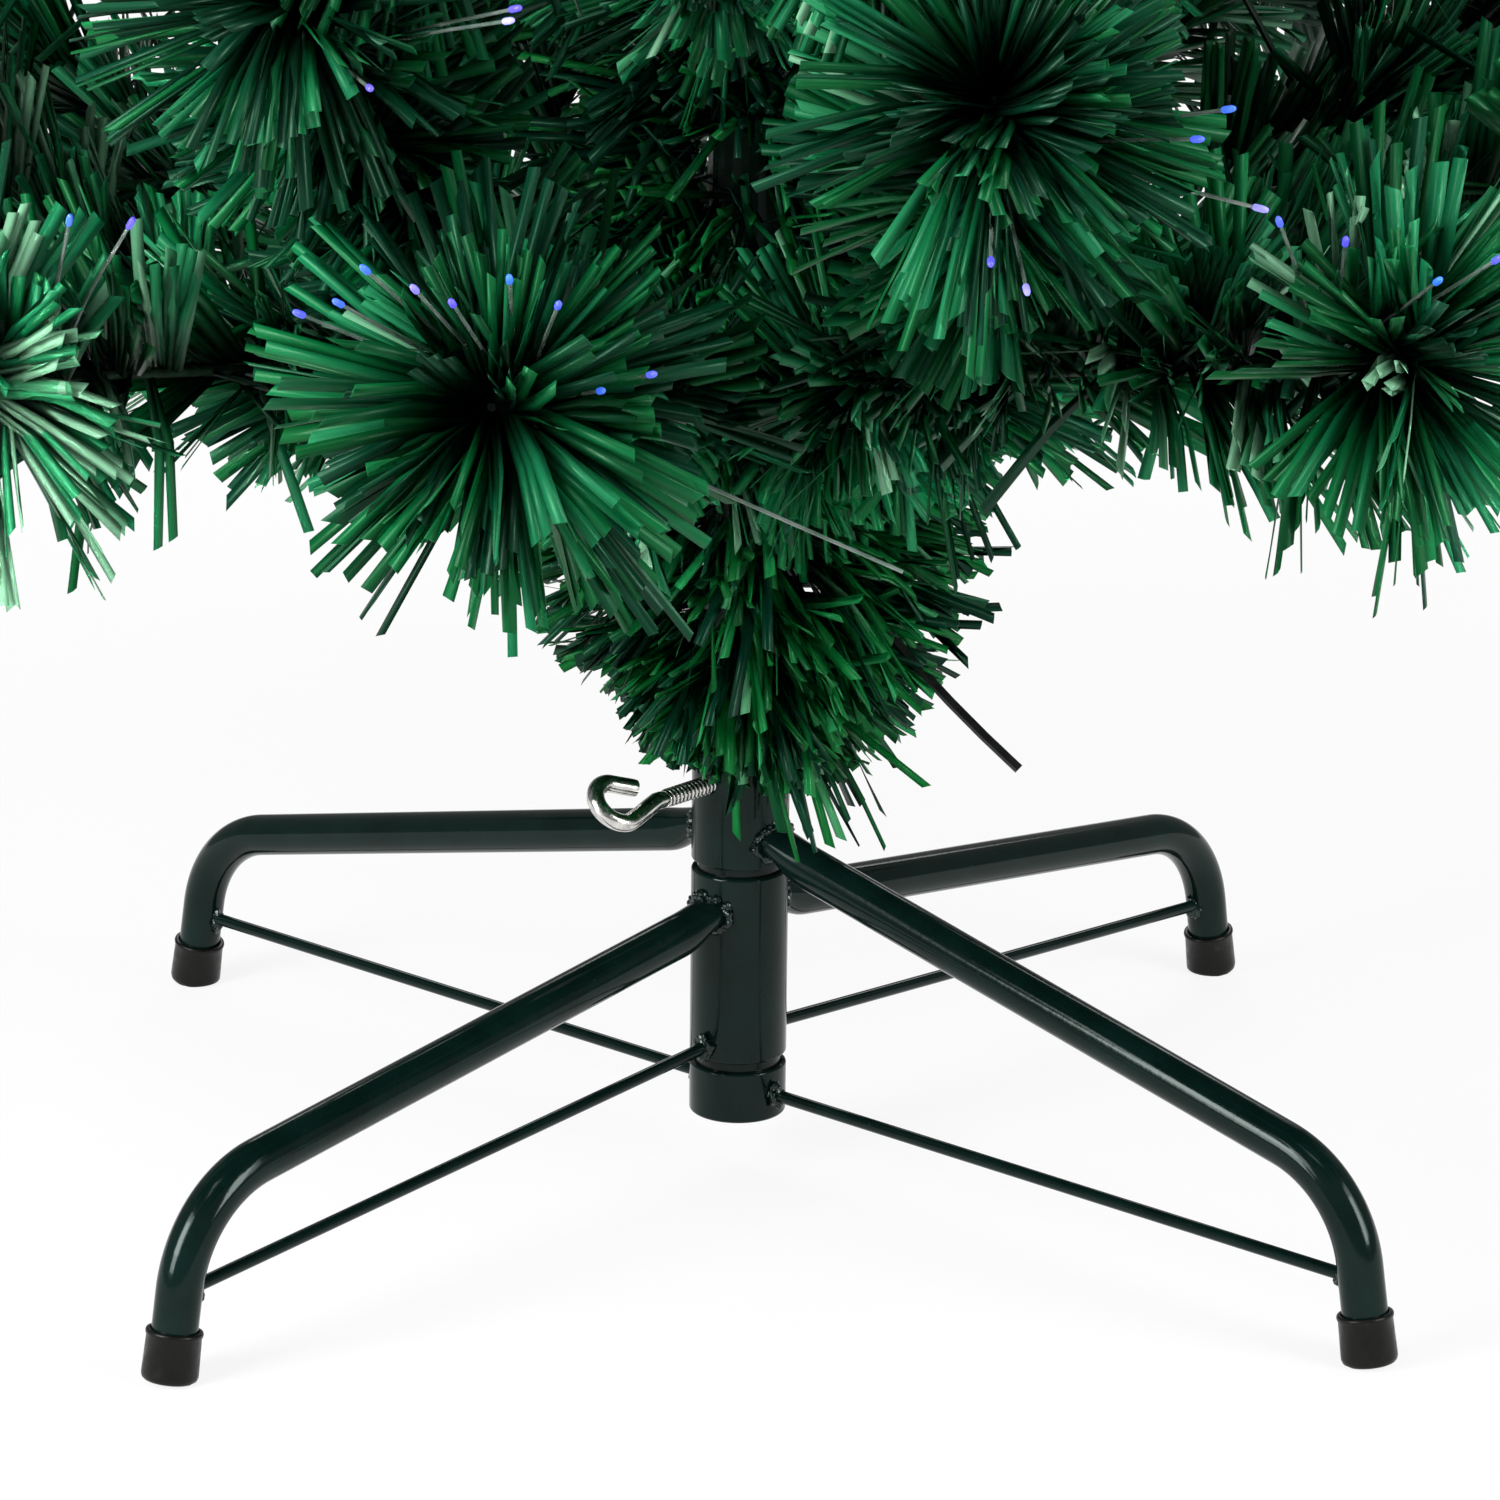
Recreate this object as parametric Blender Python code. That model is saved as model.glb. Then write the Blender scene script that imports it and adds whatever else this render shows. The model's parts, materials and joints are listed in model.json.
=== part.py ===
"""Fibre optic Christmas tree on a folding four-leg tube stand.

Metres, +Z up. The origin is on the floor under the pole. The stand has two
frames: frame A carries the upper and lower collars and the sleeve between
them, and frame B turns about that sleeve on the middle tube. The pole of the
lower tree section drops into the sleeve and is held by an eye bolt, and the
upper section's pole plugs into the lower one.
"""
import math

import bmesh
import bpy
from mathutils import Matrix, Vector

# Clearances shared by all pieces
GAP = 0.0003
CUT_OVERRUN = 0.003
WELD_MERGE = 0.000001
TURNED_SMOOTH = math.radians(35.0)
SWEPT_SMOOTH = math.radians(40.0)
BRACE_SMOOTH = math.radians(50.0)

# Hub of the stand, stacked on the pole's axis
HUB_R = 0.016
HUB_WALL = 0.0015
LOWER_COLLAR_BOTTOM = 0.0172
LOWER_COLLAR_LENGTH = 0.0173
LOWER_PARTING = 0.0032
MIDDLE_TUBE_LENGTH = 0.0644
UPPER_PARTING = 0.0027
UPPER_COLLAR_LENGTH = 0.0362
LOWER_COLLAR_TOP = LOWER_COLLAR_BOTTOM + LOWER_COLLAR_LENGTH
MIDDLE_TUBE_BOTTOM = LOWER_COLLAR_TOP + LOWER_PARTING
MIDDLE_TUBE_TOP = MIDDLE_TUBE_BOTTOM + MIDDLE_TUBE_LENGTH
UPPER_COLLAR_BOTTOM = MIDDLE_TUBE_TOP + UPPER_PARTING
UPPER_COLLAR_TOP = UPPER_COLLAR_BOTTOM + UPPER_COLLAR_LENGTH
EDGE_ROUND = 0.0008
ROLLED_END = 0.0012
LEDGE_REACH = 0.0035
LEDGE_THICKNESS = 0.0015
SLEEVE_WALL = 0.0014
SLEEVE_BELOW_RIM = 0.0006
HUB_SIDES = 48
ROUND_STEPS = 3

# Legs: one bent tube each, seen in its own upright plane
LEG_R = 0.0072
FOOT_REACH = 0.2596
LEG_FOOT_TILT = math.radians(9.9)
LEG_BEND_R = 0.0400
LEG_SIDES = 16
LEG_BEND_STEPS = 8
LEG_CORNER_HEIGHT = 0.0565
A_LEG_ABOVE_COLLAR_EDGE = 0.0062
B_LEG_BELOW_TUBE_EDGE = 0.0155
A_LEG_HUB_HEIGHT = UPPER_COLLAR_BOTTOM + A_LEG_ABOVE_COLLAR_EDGE
B_LEG_HUB_HEIGHT = MIDDLE_TUBE_TOP - B_LEG_BELOW_TUBE_EDGE
LEG_ROOT_REACH = 0.0090
CRIMP_LENGTH = 0.0130
CRIMP_HEIGHT_SHARE = 0.66
LEG_BEAD = 0.0013
LEG_BEAD_LENGTH = 0.0032
LEG_PLACES = (
    ("back_left", math.radians(135.0), "a"),
    ("front_right", math.radians(-45.0), "a"),
    ("front_left", math.radians(-135.0), "b"),
    ("back_right", math.radians(45.0), "b"),
)

# Brace rods from the collars to the feet
BRACE_R = 0.0019
BRACE_SIDES = 10
B_BRACE_ABOVE_TUBE_EDGE = 0.0051
A_BRACE_HUB_HEIGHT = (LOWER_COLLAR_BOTTOM + LOWER_COLLAR_TOP) / 2
B_BRACE_HUB_HEIGHT = MIDDLE_TUBE_BOTTOM + B_BRACE_ABOVE_TUBE_EDGE
A_BRACE_FOOT_HEIGHT = 0.0258
B_BRACE_FOOT_HEIGHT = 0.0270
BRACE_BEAD = 0.0011
BRACE_BEAD_LENGTH = 0.0042

# Rubber foot caps
CAP_R = 0.0088
CAP_TOP_R = 0.0085
CAP_LIP = 0.0004
CAP_LIP_HEIGHT = 0.0016
CAP_HEIGHT = 0.0160
CAP_FLOOR = 0.0026
CAP_EDGE = 0.0015
CAP_EDGE_HEIGHT = 0.0021
CAP_SIDES = 24

# Eye bolt: threaded shank, thinner wire, open eye turned about the shank
BOLT_AZIMUTH = math.radians(-135.0)
BOLT_BELOW_RIM = 0.0077
BOLT_HEIGHT = UPPER_COLLAR_TOP - BOLT_BELOW_RIM
BOLT_R = 0.0030
BOLT_TIP_CHAMFER = 0.0008
BOLT_THREAD_END = 0.0370
BOLT_NECK_TAPER = 0.0015
EYE_WIRE_R = 0.0024
EYE_R = 0.0077
EYE_CENTRE_OUT = 0.0570
EYE_CENTRE_RISE = 0.0038
EYE_TILT = math.radians(48.0)
EYE_START_ANGLE = math.radians(-112.0)
EYE_END_ANGLE = math.radians(128.0)
EYE_ARM = 0.0072
EYE_ARM_TURN = math.radians(28.0)
EYE_STEPS = 16
BOLT_SIDES = 12
BOLT_HOLE_SIDES = 24
BOLT_ROOM = 0.0900

# Poles
POLE_R = 0.0125
POLE_WALL = 0.0010
TENON_LENGTH = 0.0600
TENON_TAPER = 0.0040
POLE_SIDES = 28

# Cable tie round the pole, its long tail hanging out of the tinsel
TIE_WIDTH = 0.0036
TIE_THICKNESS = 0.0012
TIE_SIDES = 28
TIE_HEAD_LENGTH = 0.0058
TIE_HEAD_WIDTH = 0.0054
TIE_HEAD_DEPTH = 0.0042
TIE_SLOT = 0.0006
TIE_AZIMUTH = math.radians(-46.0)
TIE_TAIL_REACH = 0.1010
TIE_TAIL_DROP = 0.0840
TIE_CURVE_SHARE = 0.92
TIE_DRIFT_SHARE = 0.20
TIE_TAIL_STEPS = 8

# Whole tree, and where along it the poles end
TREE_HEIGHT = 1.5000
POLE_JOINT_SHARE = 0.5033
UPPER_POLE_SHARE = 0.8
POLE_JOINT_HEIGHT = TREE_HEIGHT * POLE_JOINT_SHARE
UPPER_POLE_TOP = TREE_HEIGHT * UPPER_POLE_SHARE
BRANCH_REACH = 0.4200
LOWER_TIERS = 4

# Tinsel wound round the foot of the trunk, with the tie above it
TINSEL_ABOVE_COLLAR = 0.0030
TINSEL_CORE_R = 0.0215
TINSEL_BOTTOM_R = 0.0150
TINSEL_REACH = 0.0740
TINSEL_SIDES = 12
TINSEL_SLICE = 0.0050
TINSEL_SLICE_SHARES = (0.10, 0.30, 0.50, 0.70, 0.90)
TINSEL_REACH_SHARES = (0.62, 0.86, 1.0, 0.98, 0.86)
TINSEL_LEANS = (-22.0, -14.0, -5.0, 5.0, 12.0)
TINSEL_TAPER = 2.0
UPRIGHT_LIMIT = 0.5

# Branch stems: wire foot, lamp sleeve of the fibre bundle, dense middle
FOOT_R = 0.0030
FOOT_LENGTH = 0.0180
TIE_BELOW_FEET = 0.0065
TIE_ABOVE_TINSEL = 0.0045
LAMP_R = 0.0050
LAMP_START = 0.0180
LAMP_LENGTH = 0.0220
NECK_R = 0.0032
CORE_R = 0.0125
CORE_START = 0.0950
SPRIG_CORE_R = 0.0095
SPRIG_START_R = 0.0060
TIP_R = 0.0040
STEM_SIDES = 5
STEM_FIRST_CORNER = 0.75
STEM_TAPER_POWER = 3
SPRIG_SPREAD = 0.0650
SPRIG_LEAVE_SIDE = 0.0340
SPRIG_LEAVE_ALONG = 0.0360
SLICE_LENGTH = 0.0055
SLICE_SHARES = {0: (), 1: (0.86,), 2: (0.45, 0.88), 3: (0.22, 0.55, 0.89)}
TIP_SPIKE_SHARE = 0.35

# Needle tufts, each a bunch of strands
NEEDLE_REACH = 0.0600
TIP_FAN_REACH = 0.0560
TUFT_TIP_WIDTH = 0.0042
TUFT_TIP_THICKNESS = 0.0014
TUFT_ROOT_ROOM = 0.0070
TUFT_TIP_ROOM = 0.0032
ROOM = 0.0010
SAMPLE_STEP = 0.0060

# Each tier: height as a share of the tree, reach as a share of the lowest
TIER_HEIGHT_SHARES = (0.1740, 0.2667, 0.3600, 0.4533, 0.5533, 0.6467, 0.7333)
LOWEST_ROOT = TREE_HEIGHT * TIER_HEIGHT_SHARES[0]
TIE_HEIGHT = LOWEST_ROOT - FOOT_LENGTH - TIE_BELOW_FEET
TINSEL_TOP = TIE_HEIGHT - TIE_ABOVE_TINSEL
TINSEL_BOTTOM = UPPER_COLLAR_TOP + TINSEL_ABOVE_COLLAR
TIER_REACH_SHARES = (1.0, 0.91, 0.80, 0.68, 0.56, 0.43, 0.30)
TIER_COUNTS = (8, 6, 6, 5, 4, 4, 3)
TIER_FIRST_AZIMUTHS = (0.0, -98.0, -125.0, -90.0, -70.0, -112.0, -90.0)
TIER_RISE_SHARES = (0.23, 0.26, 0.30, 0.34, 0.42, 0.50, 0.62)
TIER_SPRIGS = (2, 2, 2, 0, 0, 0, 0)
TIER_SLICES = (2, 1, 1, 2, 2, 2, 1)
TIER_SPRIG_SLICES = (1, 1, 1, 0, 0, 0, 0)

# Lowest tier: half its branches, the other half lies opposite.
# Each tip is (turn from the branch in degrees, reach share, rise share).
LOWEST_BRANCHES = (
    (-157.0, ((0.0, 0.95, 0.46), (-10.0, 1.00, 0.25), (11.0, 0.98, 0.22))),
    (-112.0, ((2.8, 0.976, 0.45), (-13.1, 1.00, 0.219), (9.1, 1.00, 0.243))),
    (-72.0, ((-13.3, 1.00, 0.427), (1.5, 1.036, 0.262), (17.0, 0.97, 0.36))),
    (-27.0, ((0.0, 0.95, 0.46), (-11.0, 0.98, 0.22), (10.0, 1.00, 0.24))),
)
HIGH_TIP_RISE_SHARE = 0.20
HIGH_TIP_REACH_SHARE = 0.95
FORK_SHARE = 0.42
FORK_RISE_SHARE = 0.40
SLICE_LEANS = (28.0, 40.0, 60.0)
SHORTER_SHARES = (1.0, 0.78, 0.58)

GREEN_PAINT = (0.012, 0.032, 0.024, 1.0)
RUBBER = (0.012, 0.012, 0.012, 1.0)
NICKEL = (0.62, 0.61, 0.58, 1.0)
NEEDLE_GREEN = (0.010, 0.120, 0.045, 1.0)
TINSEL_GREEN = (0.012, 0.100, 0.035, 1.0)
BLACK_NYLON = (0.010, 0.010, 0.011, 1.0)
POLE_PAINT = (0.010, 0.028, 0.018, 1.0)
GLOSS = 0.18
METAL_GLOSS = 0.25
POLE_GLOSS = 0.35
PLASTIC_GLOSS = 0.45
RUBBER_GLOSS = 0.55

UP = Vector((0.0, 0.0, 1.0))


def clear_scene():
    """Start from an empty scene."""
    for leftover in list(bpy.data.objects):
        bpy.data.objects.remove(leftover, do_unlink=True)


def make_material(name, colour, roughness, metallic=0.0):
    """A plain Principled material."""
    mat = bpy.data.materials.new(name)
    mat.use_nodes = True
    shader = mat.node_tree.nodes["Principled BSDF"]
    shader.inputs["Base Color"].default_value = colour
    shader.inputs["Roughness"].default_value = roughness
    shader.inputs["Metallic"].default_value = metallic
    return mat


def finish_mesh(bm, name, mat, smooth_angle=None):
    """Turn a bmesh into mesh data with outward faces."""
    bmesh.ops.recalc_face_normals(bm, faces=bm.faces)
    if bm.calc_volume(signed=True) < 0.0:
        bmesh.ops.reverse_faces(bm, faces=bm.faces)
    mesh = bpy.data.meshes.new(name)
    bm.to_mesh(mesh)
    bm.free()
    mesh.materials.append(mat)
    if smooth_angle is not None:
        mesh.shade_smooth()
        mesh.set_sharp_from_angle(angle=smooth_angle)
    return mesh


def place(name, mesh, parent=None, turn=0.0, height=0.0):
    """One named object, turned about the upright axis."""
    thing = bpy.data.objects.new(name, mesh)
    thing.rotation_euler = (0.0, 0.0, turn)
    thing.location = (0.0, 0.0, height)
    bpy.context.scene.collection.objects.link(thing)
    thing.parent = parent
    return thing


def make_axis(name, parent=None):
    """An empty that marks a body's joint axis."""
    empty = bpy.data.objects.new(name, None)
    bpy.context.scene.collection.objects.link(empty)
    empty.parent = parent
    return empty


def cut(target, cutter):
    """Subtract a cutter object from a target object."""
    cutter.hide_render = True
    cutter.display_type = "WIRE"
    step = target.modifiers.new("cut", "BOOLEAN")
    step.operation = "DIFFERENCE"
    step.solver = "EXACT"
    step.object = cutter


def quarter_round(centre_r, centre_z, radius, first):
    """Profile points of a quarter circle that starts at an angle."""
    points = []
    for index in range(ROUND_STEPS + 1):
        angle = first + math.pi / 2 * index / ROUND_STEPS
        points.append((centre_r + radius * math.cos(angle), centre_z + radius * math.sin(angle)))
    return points


def turned(profile, sides):
    """Spin a closed profile of (radius, height) points about Z."""
    bm = bmesh.new()
    ring = [bm.verts.new((radius, 0.0, height)) for radius, height in profile]
    edges = [bm.edges.new((ring[i - 1], ring[i])) for i in range(len(ring))]
    bmesh.ops.spin(bm, geom=ring + edges, cent=(0.0, 0.0, 0.0), axis=(0.0, 0.0, 1.0),
                   angle=math.tau, steps=sides, use_merge=True, use_duplicate=False)
    bmesh.ops.remove_doubles(bm, verts=bm.verts, dist=WELD_MERGE)
    loose = [edge for edge in bm.edges if not edge.link_faces]
    bmesh.ops.delete(bm, geom=loose, context="EDGES")
    return bm


def ring_tube(bottom, top, outer, inner, top_round, bottom_round):
    """Profile of an open tube whose outer edges are rounded."""
    profile = [(inner, bottom)]
    profile += quarter_round(outer - bottom_round, bottom + bottom_round, bottom_round, -math.pi / 2)
    profile += quarter_round(outer - top_round, top - top_round, top_round, 0.0)
    profile.append((inner, top))
    return profile


def make_cutter(name, bm):
    """An object from a bmesh that only cuts others."""
    bmesh.ops.recalc_face_normals(bm, faces=bm.faces)
    mesh = bpy.data.meshes.new(name)
    bm.to_mesh(mesh)
    bm.free()
    cutter = bpy.data.objects.new(name, mesh)
    bpy.context.scene.collection.objects.link(cutter)
    return cutter


def cylinder_cutter(name, radius, start, end, sides):
    """A cutter between two points, its flat sides outside the radius."""
    start, end = Vector(start), Vector(end)
    bm = bmesh.new()
    corner_radius = radius / math.cos(math.pi / sides)
    bmesh.ops.create_cone(bm, cap_ends=True, segments=sides, radius1=corner_radius,
                          radius2=corner_radius, depth=(end - start).length)
    turn = UP.rotation_difference((end - start).normalized()).to_matrix().to_4x4()
    bmesh.ops.transform(bm, matrix=Matrix.Translation((start + end) / 2) @ turn, verts=bm.verts)
    return make_cutter(name, bm)


def sweep(points, sizes, sides, side_hint):
    """Closed tube along points; sizes holds (half width, half height) a ring."""
    bm = bmesh.new()
    rings = []
    for index, centre in enumerate(points):
        along = path_direction(points, index)
        across = side_hint - along * side_hint.dot(along)
        across.normalize()
        above = across.cross(along)
        half_width, half_height = sizes[index]
        ring = []
        for corner in range(sides):
            angle = math.tau * (corner + 0.5) / sides
            offset = across * (half_width * math.cos(angle)) + above * (half_height * math.sin(angle))
            ring.append(bm.verts.new(centre + offset))
        rings.append(ring)
    for first, second in zip(rings, rings[1:]):
        for corner in range(sides):
            follow = (corner + 1) % sides
            bm.faces.new((first[corner], first[follow], second[follow], second[corner]))
    bm.faces.new(rings[0])
    bm.faces.new(list(reversed(rings[-1])))
    return bm


def path_direction(points, index):
    """Unit direction of a path at one of its points."""
    before = points[max(index - 1, 0)]
    after = points[min(index + 1, len(points) - 1)]
    return (after - before).normalized()


# Stand

def leg_corner_reach():
    """How far out the leg's upper and lower straight lines would meet."""
    return FOOT_REACH - LEG_CORNER_HEIGHT * math.tan(LEG_FOOT_TILT)


def leg_slope(hub_height):
    """Fall of a leg's upper run from the hub to its corner."""
    return math.atan2(hub_height - LEG_CORNER_HEIGHT, leg_corner_reach() - HUB_R)


def leg_end():
    """Centre of the leg's lower end, just above the cap's floor (r, z)."""
    rise = CAP_FLOOR + GAP
    return FOOT_REACH - rise * math.sin(LEG_FOOT_TILT), rise * math.cos(LEG_FOOT_TILT)


def leg_bend(slope):
    """Centre line of a leg's bend in the XZ plane."""
    turn = math.pi / 2 - slope - LEG_FOOT_TILT
    tangent = LEG_BEND_R * math.tan(turn / 2)
    corner = Vector((leg_corner_reach(), 0.0, LEG_CORNER_HEIGHT))
    start = corner - Vector((math.cos(slope), 0.0, -math.sin(slope))) * tangent
    inward = Vector((-math.sin(slope), 0.0, -math.cos(slope)))
    centre = start + inward * LEG_BEND_R
    points = []
    for index in range(LEG_BEND_STEPS + 1):
        angle = slope + turn * index / LEG_BEND_STEPS
        points.append(centre + Vector((math.sin(angle), 0.0, math.cos(angle))) * LEG_BEND_R)
    return points


def leg_mesh(name, hub_height, mat):
    """One leg: bead, crimped end, straight tube, bend and foot."""
    slope = leg_slope(hub_height)
    outward = Vector((math.cos(slope), 0.0, -math.sin(slope)))
    hub_point = Vector((HUB_R, 0.0, hub_height))
    root = hub_point - outward * (HUB_R - LEG_ROOT_REACH)
    crimped = LEG_R * CRIMP_HEIGHT_SHARE
    lift = Vector((math.sin(slope), 0.0, math.cos(slope))) * (LEG_R - crimped)
    points = [root + lift, hub_point + outward * (LEG_BEAD_LENGTH / 2) + lift,
              hub_point + outward * LEG_BEAD_LENGTH + lift,
              hub_point + outward * CRIMP_LENGTH, hub_point + outward * (CRIMP_LENGTH * 2)]
    sizes = [(LEG_R + LEG_BEAD, crimped + LEG_BEAD), (LEG_R + LEG_BEAD, crimped + LEG_BEAD),
             (LEG_R, crimped), (LEG_R, LEG_R), (LEG_R, LEG_R)]
    bend = leg_bend(slope)
    end_r, end_z = leg_end()
    points += bend + [Vector((end_r, 0.0, end_z))]
    sizes += [(LEG_R, LEG_R)] * (len(bend) + 1)
    bm = sweep(points, sizes, LEG_SIDES, Vector((0.0, 1.0, 0.0)))
    return finish_mesh(bm, name, mat, SWEPT_SMOOTH)


def leg_clearance(hub_height):
    """A cutter a gap wider than the leg, along its bend and foot."""
    points = leg_bend(leg_slope(hub_height)) + [Vector((FOOT_REACH, 0.0, 0.0))]
    wide = LEG_R + GAP / math.cos(math.pi / LEG_SIDES)
    bm = sweep(points, [(wide, wide)] * len(points), LEG_SIDES, Vector((0.0, 1.0, 0.0)))
    return make_cutter("brace_end_cutter", bm)


def brace_mesh(name, hub_height, foot_height, mat):
    """A thin rod with a weld bead at each end."""
    start = Vector((LEG_ROOT_REACH, 0.0, hub_height))
    foot_r = FOOT_REACH - foot_height * math.tan(LEG_FOOT_TILT)
    end = Vector((foot_r, 0.0, foot_height))
    along = (end - start).normalized()
    hub_weld = start + along * (HUB_R - LEG_ROOT_REACH + BRACE_BEAD_LENGTH)
    leg_weld = end - along * (LEG_R + BRACE_BEAD_LENGTH)
    thick = BRACE_R + BRACE_BEAD
    step = along * (BRACE_BEAD_LENGTH / 2)
    points = [start, hub_weld - step, hub_weld, leg_weld, leg_weld + step, end]
    radii = [thick, thick, BRACE_R, BRACE_R, thick, thick]
    bm = sweep(points, [(size, size) for size in radii], BRACE_SIDES, Vector((0.0, 1.0, 0.0)))
    return finish_mesh(bm, name, mat, BRACE_SMOOTH)


def cap_mesh(mat):
    """A rubber cup round the leg's end, cut flat where it stands."""
    inner = LEG_R + GAP
    profile = [(0.0, CAP_FLOOR), (0.0, -CUT_OVERRUN), (CAP_R - CAP_EDGE, -CUT_OVERRUN),
               (CAP_R - CAP_EDGE, 0.0), (CAP_R - CAP_EDGE / 3, CAP_EDGE / 2), (CAP_R, CAP_EDGE_HEIGHT),
               (CAP_TOP_R, CAP_HEIGHT - CAP_LIP_HEIGHT),
               (CAP_TOP_R + CAP_LIP, CAP_HEIGHT - CAP_LIP_HEIGHT / 2),
               (CAP_TOP_R, CAP_HEIGHT), (inner, CAP_HEIGHT), (inner, CAP_FLOOR)]
    bm = turned(profile, CAP_SIDES)
    lean = Matrix.Rotation(-LEG_FOOT_TILT, 4, "Y")
    bmesh.ops.transform(bm, matrix=Matrix.Translation((FOOT_REACH, 0.0, 0.0)) @ lean, verts=bm.verts)
    sole = bmesh.ops.bisect_plane(bm, geom=bm.verts[:] + bm.edges[:] + bm.faces[:], dist=WELD_MERGE,
                                  plane_co=(0.0, 0.0, 0.0), plane_no=(0.0, 0.0, -1.0), clear_outer=True)
    rim = [part for part in sole["geom_cut"] if isinstance(part, bmesh.types.BMEdge)]
    bmesh.ops.holes_fill(bm, edges=rim, sides=0)
    return finish_mesh(bm, "foot_cap", mat, TURNED_SMOOTH)


def build_hub(frame_a, frame_b, paint, dark):
    """Collars, sleeve and middle tube, and the cutters that they share."""
    inner = HUB_R - HUB_WALL
    bolt_hole = cylinder_cutter("bolt_hole_cutter", BOLT_R + GAP, (0.0, 0.0, BOLT_HEIGHT),
                                (HUB_R + CUT_OVERRUN, 0.0, BOLT_HEIGHT), BOLT_HOLE_SIDES)
    bolt_hole.rotation_euler = (0.0, 0.0, BOLT_AZIMUTH)
    upper = ring_tube(UPPER_COLLAR_BOTTOM, UPPER_COLLAR_TOP, HUB_R, inner, EDGE_ROUND, EDGE_ROUND)
    upper_mesh = finish_mesh(turned(upper, HUB_SIDES), "upper_collar", paint, TURNED_SMOOTH)
    cut(place("upper_collar", upper_mesh, frame_a), bolt_hole)
    middle = ring_tube(MIDDLE_TUBE_BOTTOM, MIDDLE_TUBE_TOP, HUB_R, inner, ROLLED_END, ROLLED_END)
    middle_mesh = finish_mesh(turned(middle, HUB_SIDES), "middle_tube", paint, TURNED_SMOOTH)
    place("middle_tube", middle_mesh, frame_b)
    lower = ring_tube(LOWER_COLLAR_BOTTOM, LOWER_COLLAR_TOP, HUB_R, inner, EDGE_ROUND, ROLLED_END)
    ledge_top = LOWER_COLLAR_BOTTOM + LEDGE_THICKNESS
    lower[0] = (inner - LEDGE_REACH, LOWER_COLLAR_BOTTOM)
    lower += [(inner, ledge_top), (inner - LEDGE_REACH, ledge_top)]
    lower_mesh = finish_mesh(turned(lower, HUB_SIDES), "lower_collar", paint, TURNED_SMOOTH)
    place("lower_collar", lower_mesh, frame_a)
    sleeve_outer = inner - GAP
    sleeve_inner = sleeve_outer - SLEEVE_WALL
    sleeve = [(sleeve_inner, ledge_top + GAP), (sleeve_outer, ledge_top + GAP),
              (sleeve_outer, UPPER_COLLAR_TOP - SLEEVE_BELOW_RIM),
              (sleeve_inner, UPPER_COLLAR_TOP - SLEEVE_BELOW_RIM)]
    sleeve_mesh = finish_mesh(turned(sleeve, HUB_SIDES), "inner_sleeve", dark, TURNED_SMOOTH)
    cut(place("inner_sleeve", sleeve_mesh, frame_a), bolt_hole)


def build_legs(frames, paint, rubber):
    """Two legs, two braces and two caps on each frame."""
    hub = cylinder_cutter("hub_cutter", HUB_R + GAP, (0.0, 0.0, 0.0),
                          (0.0, 0.0, UPPER_COLLAR_TOP + CUT_OVERRUN), HUB_SIDES)
    cap = cap_mesh(rubber)
    leg_heights = {"a": A_LEG_HUB_HEIGHT, "b": B_LEG_HUB_HEIGHT}
    brace_sizes = {"a": (A_BRACE_HUB_HEIGHT, A_BRACE_FOOT_HEIGHT),
                   "b": (B_BRACE_HUB_HEIGHT, B_BRACE_FOOT_HEIGHT)}
    for side, turn, frame in LEG_PLACES:
        parent = frames[frame]
        leg = place("leg_" + side, leg_mesh("leg_" + frame, leg_heights[frame], paint), parent, turn)
        cut(leg, hub)
        rod = brace_mesh("brace_" + frame, *brace_sizes[frame], paint)
        brace = place("brace_" + side, rod, parent, turn)
        cut(brace, hub)
        clear = leg_clearance(leg_heights[frame])
        clear.rotation_euler = (0.0, 0.0, turn)
        cut(brace, clear)
        place("foot_cap_" + side, cap, parent, turn)


def build_eye_bolt(mat):
    """Shank along +X from the pole, wire neck and open tilted eye."""
    across = Vector((0.0, -math.sin(EYE_TILT), math.cos(EYE_TILT)))
    out = Vector((1.0, 0.0, 0.0))
    tip = POLE_R + GAP
    points = [out * tip, out * (tip + BOLT_TIP_CHAMFER), out * BOLT_THREAD_END,
              out * (BOLT_THREAD_END + BOLT_NECK_TAPER)]
    radii = [BOLT_R - BOLT_TIP_CHAMFER, BOLT_R, BOLT_R, EYE_WIRE_R]
    centre = out * EYE_CENTRE_OUT + across * EYE_CENTRE_RISE
    for index in range(EYE_STEPS + 1):
        angle = EYE_START_ANGLE + (EYE_END_ANGLE - EYE_START_ANGLE) * index / EYE_STEPS
        points.append(centre + out * (EYE_R * math.cos(angle)) + across * (EYE_R * math.sin(angle)))
        radii.append(EYE_WIRE_R)
    heading = EYE_END_ANGLE + math.pi / 2 - EYE_ARM_TURN
    points.append(points[-1] + (out * math.cos(heading) + across * math.sin(heading)) * EYE_ARM)
    radii.append(EYE_WIRE_R)
    plane_normal = out.cross(across)
    bm = sweep(points, [(size, size) for size in radii], BOLT_SIDES, plane_normal)
    mesh = finish_mesh(bm, "eye_bolt", mat, SWEPT_SMOOTH)
    place("eye_bolt", mesh, make_axis("eye_bolt_axis"), BOLT_AZIMUTH, BOLT_HEIGHT)


# Poles and cable tie

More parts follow.
